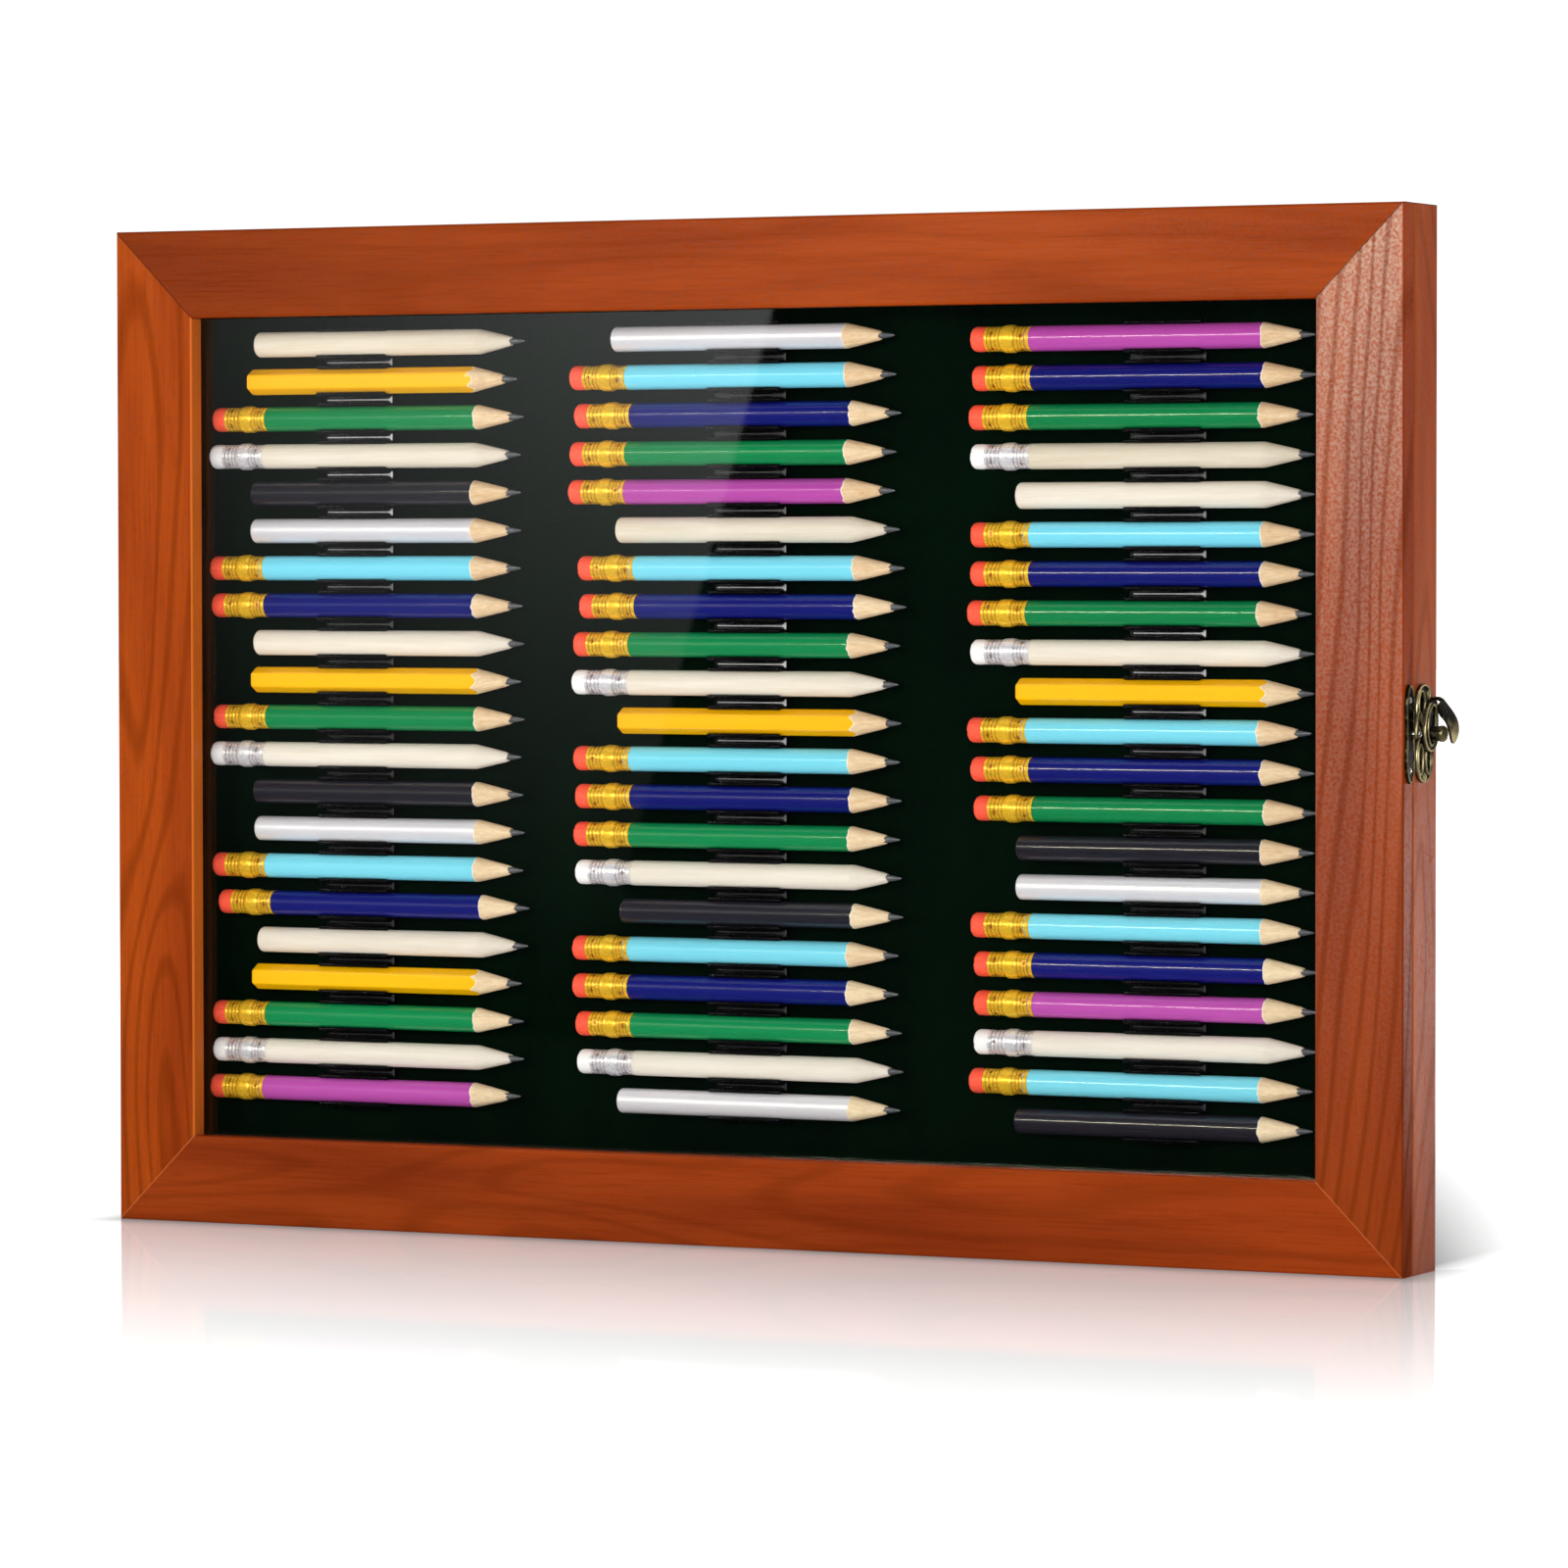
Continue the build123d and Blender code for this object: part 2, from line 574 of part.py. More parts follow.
def hook_outline():
    """Round eye, rising arm and the claw that closes in front of the catch pin."""
    arm = Polygon((-HOOK_EYE_RADIUS, 0), (HOOK_EYE_RADIUS, 0),
                  (TAB_WIDTH / 2, ARM_HEIGHT), (-TAB_WIDTH / 2, ARM_HEIGHT), align=None)
    outline = Circle(HOOK_EYE_RADIUS) + arm
    outline += ring_sector(HOOK_BORE_RADIUS, CLAW_OUTER_RADIUS, *CLAW_ARM_ANGLES)
    outline += ring_sector(CLAW_INNER_RADIUS, CLAW_OUTER_RADIUS, *CLAW_ANGLES)
    return outline - Circle(HOOK_BORE_RADIUS)


def thumb_tab():
    """The strip that carries on from the arm, curls out over the stud and hangs down."""
    middle_x = HOOK_INNER_X + HOOK_THICKNESS / 2
    root = Line((middle_x, LATCH_Z + ARM_HEIGHT - OVERCUT), (middle_x, LATCH_Z + ARM_HEIGHT))
    curl = JernArc(root @ 1, root % 1, TAB_CURL_RADIUS, -TAB_CURL_TURN)
    blade = JernArc(curl @ 1, curl % 1, TAB_BLADE_RADIUS, -TAB_BLADE_TURN)
    side_view = trace(Wire([root.edge(), curl.edge(), blade.edge()]), HOOK_THICKNESS)
    plane = Plane(origin=(0, PIVOT_Y, 0), x_dir=(1, 0, 0), z_dir=(0, -1, 0))
    return extrude(plane * side_view, TAB_WIDTH / 2, both=True)


def latch_hook():
    """The swinging hook, from its eye to the end of its thumb tab."""
    flat = extrude(side_plane(HOOK_INNER_X) * (Pos(PIVOT_Y, LATCH_Z) * hook_outline()), HOOK_THICKNESS)
    return flat + thumb_tab()


# Keyhole hangers
def hanger_places_x():
    return -KEYHOLE_SPACING / 2, KEYHOLE_SPACING / 2


def back_plane(y):
    """A drawing plane seen from the front: across is +X and up is +Z, extruding towards -Y."""
    return Plane(origin=(0, y, 0), x_dir=(1, 0, 0), z_dir=(0, -1, 0))


def hanger_plate(centre_x):
    """A flat steel plate with a round entry below a narrow slot."""
    x = (centre_x - HANGER_WIDTH / 2, centre_x + HANGER_WIDTH / 2)
    plate = block(x, (BACK_Y - HANGER_THICKNESS, BACK_Y), (HANGER_BOTTOM_Z, HANGER_TOP_Z))
    plate = fillet(plate.edges().filter_by(Axis.Y), HANGER_CORNER_RADIUS)
    slot_height = KEYHOLE_SLOT_TOP_Z - KEYHOLE_ENTRY_Z
    keyhole = Pos(centre_x, KEYHOLE_ENTRY_Z) * Circle(KEYHOLE_ENTRY_RADIUS)
    keyhole += Pos(centre_x, KEYHOLE_SLOT_TOP_Z) * Circle(KEYHOLE_SLOT_RADIUS)
    keyhole += Pos(centre_x, KEYHOLE_ENTRY_Z + slot_height / 2) * Rectangle(
        2 * KEYHOLE_SLOT_RADIUS, slot_height)
    plate -= extrude(back_plane(BACK_Y + OVERCUT) * keyhole, HANGER_THICKNESS + 2 * OVERCUT)
    for head, tip in hanger_screw_places(centre_x):
        plate -= countersunk_screw(head, tip, HANGER_SCREW, CLEARANCE)
    return plate


def hanger_screw_places(centre_x):
    for screw_z in HANGER_SCREWS_Z:
        yield (centre_x, BACK_Y, screw_z), (centre_x, BACK_Y - HANGER_SCREW_REACH, screw_z)


def hanger_recess(centre_x):
    """The shallow recess for a hanger plate and the pocket for the head of the wall screw."""
    x = (centre_x - HANGER_WIDTH / 2 - RECESS_PLAY, centre_x + HANGER_WIDTH / 2 + RECESS_PLAY)
    z = (HANGER_BOTTOM_Z - RECESS_PLAY, HANGER_TOP_Z + RECESS_PLAY)
    recess = block(x, (BACK_Y - HANGER_THICKNESS, BACK_Y + OVERCUT), z)
    pocket_x = (centre_x - POCKET_WIDTH / 2, centre_x + POCKET_WIDTH / 2)
    pocket = block(pocket_x, (BOARD_FRONT_Y - OVERCUT, BACK_Y), (POCKET_BOTTOM_Z, POCKET_TOP_Z))
    return recess + pocket


def panel_screw_places():
    """Heads and tips of the screws round the back panel."""
    inset = WALL - PANEL_REBATE / 2
    tip_y = PANEL_FRONT_Y - PANEL_SCREW_REACH
    for screw_x in PANEL_SCREWS_X:
        for screw_z in (inset, CASE_HEIGHT - inset):
            yield (screw_x, BACK_Y, screw_z), (screw_x, tip_y, screw_z)
    for screw_z in PANEL_SCREWS_Z:
        for screw_x in (-SIDE_X + inset, SIDE_X - inset):
            yield (screw_x, BACK_Y, screw_z), (screw_x, tip_y, screw_z)


def clip_places():
    """Middle of the screw of each pane clip, and the direction from it to the pane."""
    inset = MEMBER_WIDTH - PANE_LAP - CLIP_SCREW_INSET
    for clip_x in CLIPS_X:
        yield clip_x, inset, (0, 1)
        yield clip_x, CASE_HEIGHT - inset, (0, -1)
    for from_middle in CLIPS_FROM_MID_Z:
        yield -SIDE_X + inset, MID_Z + from_middle, (1, 0)
        yield SIDE_X - inset, MID_Z + from_middle, (-1, 0)


def pane_clip(x, z, inward):
    """A small flat tab that laps over the edge of the pane."""
    middle = (CLIP_TO_PANE - CLIP_BEHIND_SCREW) / 2
    half_length = (CLIP_TO_PANE + CLIP_BEHIND_SCREW) / 2
    half_x, half_z = (half_length, CLIP_HALF_WIDTH) if inward[0] else (CLIP_HALF_WIDTH, half_length)
    centre_x = x + middle * inward[0]
    centre_z = z + middle * inward[1]
    tab = block(
        (centre_x - half_x, centre_x + half_x),
        (DOOR_BACK_Y, DOOR_BACK_Y + CLIP_THICKNESS),
        (centre_z - half_z, centre_z + half_z),
    )
    tab = fillet(tab.edges().filter_by(Axis.Y), CLIP_CORNER_RADIUS)
    return tab - clip_screw_hole(x, z)


def clip_screw_hole(x, z):
    """The hole for a clip's screw, through the clip and into the wood."""
    start_y = DOOR_BACK_Y + CLIP_THICKNESS + OVERCUT
    end_y = DOOR_BACK_Y - CLIP_SCREW_REACH - HOLE_TIP_GAP
    return rod(CLIP_SCREW[1] + CLEARANCE, (x, start_y, z), (x, end_y, z))


def side_fastener(size, y, z, reach):
    """A screw or nail through a latch plate into the right-hand side, and its hole."""
    fastener = round_head_screw((SIDE_X + PLATE_THICKNESS, y, z), (SIDE_X - reach, y, z), size)
    hole_start = (SIDE_X + PLATE_THICKNESS + OVERCUT, y, z)
    hole_end = (SIDE_X - reach - HOLE_TIP_GAP, y, z)
    return fastener, rod(size[1] + CLEARANCE, hole_start, hole_end)


def latch_pin_hole(radius, y):
    """The hole in the right-hand side for the stud or the catch pin."""
    start = (SIDE_X - LATCH_PIN_REACH - HOLE_TIP_GAP, y, LATCH_Z)
    return rod(radius + CLEARANCE, start, (SIDE_X + OVERCUT, y, LATCH_Z))


parts = {}

# Box
box_bottom, box_top, box_left, box_right = four_members(box_section(), WALL)
parts["case_rail_bottom"] = box_bottom
parts["case_rail_top"] = box_top
parts["case_rail_left"] = box_left
parts["case_rail_right"] = box_right

panel_half_width = SIDE_X - WALL + PANEL_REBATE - PANEL_PLAY
panel_z = (WALL - PANEL_REBATE + PANEL_PLAY, CASE_HEIGHT - WALL + PANEL_REBATE - PANEL_PLAY)
parts["back_panel"] = block((-panel_half_width, panel_half_width), (PANEL_FRONT_Y, BACK_Y), panel_z)

board_half_width = SIDE_X - WALL - PANEL_PLAY
board_x = (-board_half_width, board_half_width)
board_z = (WALL + PANEL_PLAY, CASE_HEIGHT - WALL - PANEL_PLAY)
parts["mounting_board"] = block(board_x, (BOARD_FRONT_Y, PANEL_FRONT_Y), board_z)
parts["felt_lining"] = block(board_x, (FELT_FRONT_Y, BOARD_FRONT_Y), board_z)

panel_screws = []
for head, tip in panel_screw_places():
    hole = countersunk_screw(head, tip, PANEL_SCREW, CLEARANCE)
    panel_screws.append(countersunk_screw(head, tip, PANEL_SCREW))
    for name in ("back_panel", "case_rail_bottom", "case_rail_top", "case_rail_left", "case_rail_right"):
        if parts[name].bounding_box().overlaps(hole.bounding_box()):
            parts[name] -= hole
parts["back_panel_screws"] = group(panel_screws)

# Racks and the screws that hold them from behind
profile = rack_profile()
rack_screws = []
for column, centre_x in RACK_CENTRES_X.items():
    centre = Pos(centre_x, 0, RACK_SHIFTS_Z[column])
    rack = centre * extrude(Plane.YZ * profile, RACK_LENGTH / 2, both=True)
    for head, tip in rack_screw_places(column):
        hole = countersunk_screw(head, tip, RACK_SCREW, CLEARANCE)
        rack_screws.append(countersunk_screw(head, tip, RACK_SCREW))
        rack -= hole
        parts["mounting_board"] -= hole
        parts["felt_lining"] -= hole
    parts["rack_" + column] = rack
parts["rack_screws"] = group(rack_screws)

# Hangers
hangers = []
hanger_screws = []
for centre_x in hanger_places_x():
    hangers.append(hanger_plate(centre_x))
    recess = hanger_recess(centre_x)
    parts["back_panel"] -= recess
    parts["mounting_board"] -= recess
    for head, tip in hanger_screw_places(centre_x):
        hole = countersunk_screw(head, tip, HANGER_SCREW, CLEARANCE)
        parts["back_panel"] -= hole
        parts["mounting_board"] -= hole
        hanger_screws.append(countersunk_screw(head, tip, HANGER_SCREW))
parts["hanger_plates"] = group(hangers)
parts["hanger_screws"] = group(hanger_screws)

# Door
door_bottom, door_top, door_left, door_right = four_members(door_section(), MEMBER_WIDTH)
parts["door_rail_bottom"] = door_bottom
parts["door_rail_top"] = door_top
parts["door_stile_left"] = door_left
parts["door_stile_right"] = door_right

pane_half_width = SIDE_X - MEMBER_WIDTH + PANE_LAP - PANE_PLAY
pane_inset_z = MEMBER_WIDTH - PANE_LAP + PANE_PLAY
parts["acrylic_pane"] = block(
    (-pane_half_width, pane_half_width),
    (PANE_FRONT_Y, DOOR_BACK_Y),
    (pane_inset_z, CASE_HEIGHT - pane_inset_z),
)

clips = []
clip_screws = []
for clip_x, clip_z, inward in clip_places():
    clips.append(pane_clip(clip_x, clip_z, inward))
    seat = (clip_x, DOOR_BACK_Y + CLIP_THICKNESS, clip_z)
    tip = (clip_x, DOOR_BACK_Y - CLIP_SCREW_REACH, clip_z)
    clip_screws.append(round_head_screw(seat, tip, CLIP_SCREW))
    hole = clip_screw_hole(clip_x, clip_z)
    for name in ("door_rail_bottom", "door_rail_top", "door_stile_left", "door_stile_right"):
        if parts[name].bounding_box().overlaps(hole.bounding_box()):
            parts[name] -= hole
parts["pane_clips"] = group(clips)
parts["pane_clip_screws"] = group(clip_screws)

# Hinges, let into the left-hand rail and stile
case_hinge_screws = []
door_hinge_screws = []
for level, bottom_z in HINGE_BOTTOMS_Z.items():
    case_leaf, door_leaf, pin, case_screws, door_screws = hinge_parts(bottom_z)
    parts["hinge_leaf_case_" + level] = case_leaf
    parts["hinge_leaf_door_" + level] = door_leaf
    parts["hinge_pin_" + level] = pin
    case_hinge_screws += case_screws
    door_hinge_screws += door_screws
    parts["case_rail_left"] -= mortise(bottom_z, BOX_FRONT_Y - OVERCUT, BOX_FRONT_Y + MORTISE_DEPTH)
    parts["door_stile_left"] -= mortise(bottom_z, DOOR_BACK_Y + OVERCUT, DOOR_BACK_Y - MORTISE_DEPTH)
    hole_radius = HINGE_SCREW[1] + CLEARANCE
    for screw_z in hinge_screw_heights(bottom_z):
        case_end = (HINGE_SCREW_X, BOX_FRONT_Y + HINGE_SCREW_REACH["case"] + HOLE_TIP_GAP, screw_z)
        door_end = (HINGE_SCREW_X, DOOR_BACK_Y - HINGE_SCREW_REACH["door"] - HOLE_TIP_GAP, screw_z)
        parts["case_rail_left"] -= rod(hole_radius, (HINGE_SCREW_X, BOX_FRONT_Y, screw_z), case_end)
        parts["door_stile_left"] -= rod(hole_radius, (HINGE_SCREW_X, DOOR_BACK_Y, screw_z), door_end)
parts["hinge_screws_case"] = group(case_hinge_screws)
parts["hinge_screws_door"] = group(door_hinge_screws)

# Latch
parts["latch_plate_case"] = case_latch_plate()
parts["latch_plate_door"] = door_latch_plate()
parts["latch_pivot_stud"] = latch_stud()
parts["latch_hook"] = latch_hook()
parts["case_rail_right"] -= latch_pin_hole(STUD_SHAFT_RADIUS, PIVOT_Y)

catch_start = (SIDE_X - LATCH_PIN_REACH, CATCH_PIN_Y, LATCH_Z)
parts["latch_catch_pin"] = rod(CATCH_PIN_RADIUS, catch_start, (CATCH_PIN_TIP_X, CATCH_PIN_Y, LATCH_Z))
parts["door_stile_right"] -= latch_pin_hole(CATCH_PIN_RADIUS, CATCH_PIN_Y)

case_latch_screws = []
for from_pivot_y, from_pivot_z in LATCH_SCREWS:
    screw, hole = side_fastener(
        LATCH_SCREW, PIVOT_Y + from_pivot_y, LATCH_Z + from_pivot_z, LATCH_SCREW_REACH)
    case_latch_screws.append(screw)
    parts["latch_plate_case"] -= hole
    parts["case_rail_right"] -= hole
parts["latch_screws_case"] = group(case_latch_screws)

door_latch_nails = []
for from_front_y, from_pivot_z in LATCH_NAILS:
    nail, hole = side_fastener(
        LATCH_NAIL, FRONT_Y + from_front_y, LATCH_Z + from_pivot_z, LATCH_NAIL_REACH)
    door_latch_nails.append(nail)
    parts["latch_plate_door"] -= hole
    parts["door_stile_right"] -= hole
parts["latch_nails_door"] = group(door_latch_nails)

# Pencils, with their leads, ferrules and erasers
barrels = {
    "N": (pencil_barrel(NATURAL_RADIUS, SHORT_BODY, False), NATURAL_RADIUS),
    "Y": (hexagonal_barrel(), HEX_CORNER_RADIUS),
    "K": (pencil_barrel(PENCIL_RADIUS, SHORT_BODY, False), PENCIL_RADIUS),
    "G": (pencil_barrel(PENCIL_RADIUS, FERRULED_BODY, True), PENCIL_RADIUS),
}
barrels["S"] = barrels["K"]
for finish in "WBVP":
    barrels[finish] = barrels["G"]
lead, ferrule_tube, eraser_plug = pencil_lead(), ferrule(), eraser()

placed = {node: [] for node in FINISH_NODES.values()}
leads = []
ferrules = {"brass": [], "silver": []}
erasers = {"red": [], "white": []}
for finish, point_x, point_z in pencil_places():
    barrel, radius = barrels[finish]
    place = Pos(point_x, seat_y(radius), point_z)
    placed[FINISH_NODES[finish]].append(place * barrel)
    leads.append(place * lead)
    if finish in RED_ERASER_FINISHES:
        ferrules["brass"].append(place * ferrule_tube)
        erasers["red"].append(place * eraser_plug)
    if finish in WHITE_ERASER_FINISHES:
        ferrules["silver"].append(place * ferrule_tube)
        erasers["white"].append(place * eraser_plug)
for node, solids in placed.items():
    parts[node] = group(solids)
parts["pencil_leads"] = group(leads)
for metal, solids in ferrules.items():
    parts["ferrules_" + metal] = group(solids)
for colour, solids in erasers.items():
    parts["erasers_" + colour] = group(solids)

os.makedirs("parts", exist_ok=True)
for name, shape in parts.items():
    export_step(shape, "parts/" + name + ".step")
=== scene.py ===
"""Dresses the pencil display case, and sets up its floor, its lights and the camera.

Sizes are in millimetres, as on the case's drawing, and become metres when a mesh is made. Only the
studio's own sizes are in metres.
"""

from __future__ import annotations

import logging
from dataclasses import dataclass, field
from enum import Enum
from typing import Iterator, Protocol, Sequence

import bpy
import numpy as np
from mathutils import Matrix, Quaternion, Vector
from mathutils.geometry import tessellate_polygon


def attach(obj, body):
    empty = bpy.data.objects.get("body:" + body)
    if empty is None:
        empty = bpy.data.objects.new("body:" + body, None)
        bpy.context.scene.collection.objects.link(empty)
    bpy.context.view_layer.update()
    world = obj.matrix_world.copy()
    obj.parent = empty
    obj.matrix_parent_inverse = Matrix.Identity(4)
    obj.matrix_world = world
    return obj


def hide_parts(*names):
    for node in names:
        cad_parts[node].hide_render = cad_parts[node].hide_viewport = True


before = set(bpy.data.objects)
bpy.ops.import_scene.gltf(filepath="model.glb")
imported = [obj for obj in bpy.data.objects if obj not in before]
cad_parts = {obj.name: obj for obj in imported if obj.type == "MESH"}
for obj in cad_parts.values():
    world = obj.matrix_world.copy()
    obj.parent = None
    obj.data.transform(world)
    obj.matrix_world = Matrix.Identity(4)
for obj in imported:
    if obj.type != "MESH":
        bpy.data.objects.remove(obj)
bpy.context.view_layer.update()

MM = 0.001
FULL_TURN = 2 * np.pi
LOG = logging.getLogger("pencil_case")

Socket = bpy.types.NodeSocket
Colour = tuple[float, float, float]

# The rows of clips and pencils: height of the top one, their pitch, and each column's shift
TOP_ROW = 258.6
PITCH = 10.95
COLUMN_SHIFTS = {"left": 0.0, "middle": 0.0, "right": -1.6}


# Colour and node trees
def srgb(red: float, green: float, blue: float) -> tuple[float, float, float, float]:
    """Turns a colour as seen on a screen, 0 to 255, into the linear colour that a shader takes.

    Args:
        red, green, blue: the screen colour.

    Returns:
        Linear red, green and blue, and an alpha of 1.
    """
    share = np.array([red, green, blue]) / 255
    linear = np.where(share <= 0.04045, share / 12.92, ((share + 0.055) / 1.055) ** 2.4)
    return (*(float(value) for value in linear), 1.0)


class Graph:
    """One node tree, a material's or the world's, built node by node."""

    def __init__(self, name: str, world: bpy.types.World | None = None) -> None:
        """Starts with an empty tree.

        Args:
            name: the new material's name.
            world: the world whose tree it is, in place of a new material's.
        """
        self.owner = world or bpy.data.materials.new(name)
        self.owner.use_nodes = True
        self.tree = self.owner.node_tree
        self.tree.nodes.clear()

    def add(self, kind: str, inputs: dict | None = None, **settings: object) -> bpy.types.Node:
        """Adds a shader node.

        Args:
            kind: the node's type without its first word.
            inputs: a socket to link or a value to set, by the input's name or number.
            settings: the node's own properties.

        Returns:
            The new node.
        """
        node = self.tree.nodes.new("ShaderNode" + kind)
        for key, value in settings.items():
            setattr(node, key, value)
        for key, value in (inputs or {}).items():
            if isinstance(value, Socket):
                self.tree.links.new(value, node.inputs[key])
            else:
                node.inputs[key].default_value = value
        return node

    def place(self) -> Socket:
        """The point's own place on the object, in metres."""
        return self.add("TexCoord").outputs["Object"]

    def stretched(self, scale: Sequence[float], shift: Sequence[float] = (0, 0, 0),
                  turn: Sequence[float] = (0, 0, 0)) -> Socket:
        """The point's own place, scaled, turned and shifted, in that order.

        Args:
            scale: cycles to the metre along each axis.
            shift: how far the scaled place is moved.
            turn: angles about the axes, in radians.

        Returns:
            The mapped place.
        """
        return self.add("Mapping", {"Vector": self.place(), "Scale": scale, "Location": shift,
                                    "Rotation": turn}).outputs[0]

    def noise(self, place: Socket, detail: float = 2.0, roughness: float = 0.5,
              distortion: float = 0.0) -> Socket:
        """Soft noise from 0 to 1 at that place."""
        return self.add("TexNoise", {"Vector": place, "Scale": 1.0, "Detail": detail,
                                     "Roughness": roughness, "Distortion": distortion}).outputs[0]

    def tone(self) -> Socket:
        """The surface's own tone, 0 to 1, which every piece carries."""
        return self.add("Attribute", attribute_name="tone").outputs["Fac"]

    def math(self, operation: str, first: object, second: object = 0.0) -> Socket:
        """One Math node of that operation."""
        return self.add("Math", {0: first, 1: second}, operation=operation).outputs[0]

    def plus(self, first: object, second: object) -> Socket:
        """The sum of two values."""
        return self.math("ADD", first, second)

    def minus(self, first: object, second: object) -> Socket:
        """The first value less the second."""
        return self.math("SUBTRACT", first, second)

    def times(self, first: object, second: object) -> Socket:
        """The product of two values."""
        return self.math("MULTIPLY", first, second)

    def between(self, value: object, low: float, high: float, start: float = 0.0,
                end: float = 1.0) -> Socket:
        """Carries low to start and high to end, and goes no further."""
        return self.add("MapRange", {"Value": value, "From Min": low, "From Max": high,
                                     "To Min": start, "To Max": end}).outputs[0]

    def blend(self, share: object, first: object, second: object) -> Socket:
        """Mixes two colours: the first where share is 0 and the second where it is 1."""
        return self.add("Mix", {0: share, 6: first, 7: second}, data_type="RGBA").outputs[2]

    def relief(self, height: object, depth: float, strength: float = 1.0) -> Socket:
        """A bumped normal from a height of 0 to 1.

        Args:
            height: the relief.
            depth: what a height of 1 stands for, in millimetres.
            strength: how much of it shows.

        Returns:
            The normal.
        """
        return self.add("Bump", {"Height": height, "Distance": depth * MM,
                                 "Strength": strength}).outputs[0]

    def surface(self, **sockets: object) -> bpy.types.Material:
        """Ends the tree with one Principled shader.

        Args:
            sockets: its inputs, with underscores for spaces.

        Returns:
            The finished material.
        """
        inputs = {key.replace("_", " "): value for key, value in sockets.items()}
        shader = self.add("BsdfPrincipled", inputs)
        return self.finished(shader.outputs[0])

    def finished(self, shader: Socket) -> bpy.types.Material:
        """Links the last shader to the output."""
        self.add("OutputMaterial", {"Surface": shader})
        return self.owner


# Finishes
class Finish(Protocol):
    """What every finish has: a name, and a way to make its material."""

    name: str

    def make(self) -> bpy.types.Material:
        """Makes the material."""


class Grain(Enum):
    """Which axis the grain of a wooden member runs along."""

    ALONG_X = 0
    ALONG_Z = 2

    def cycles(self, per_metre: float, along: float = 0.045) -> tuple[float, ...]:
        """Cycles to the metre on each axis for a pattern drawn out along the grain."""
        return tuple(per_metre * (along if axis == self.value else 1.0) for axis in range(3))


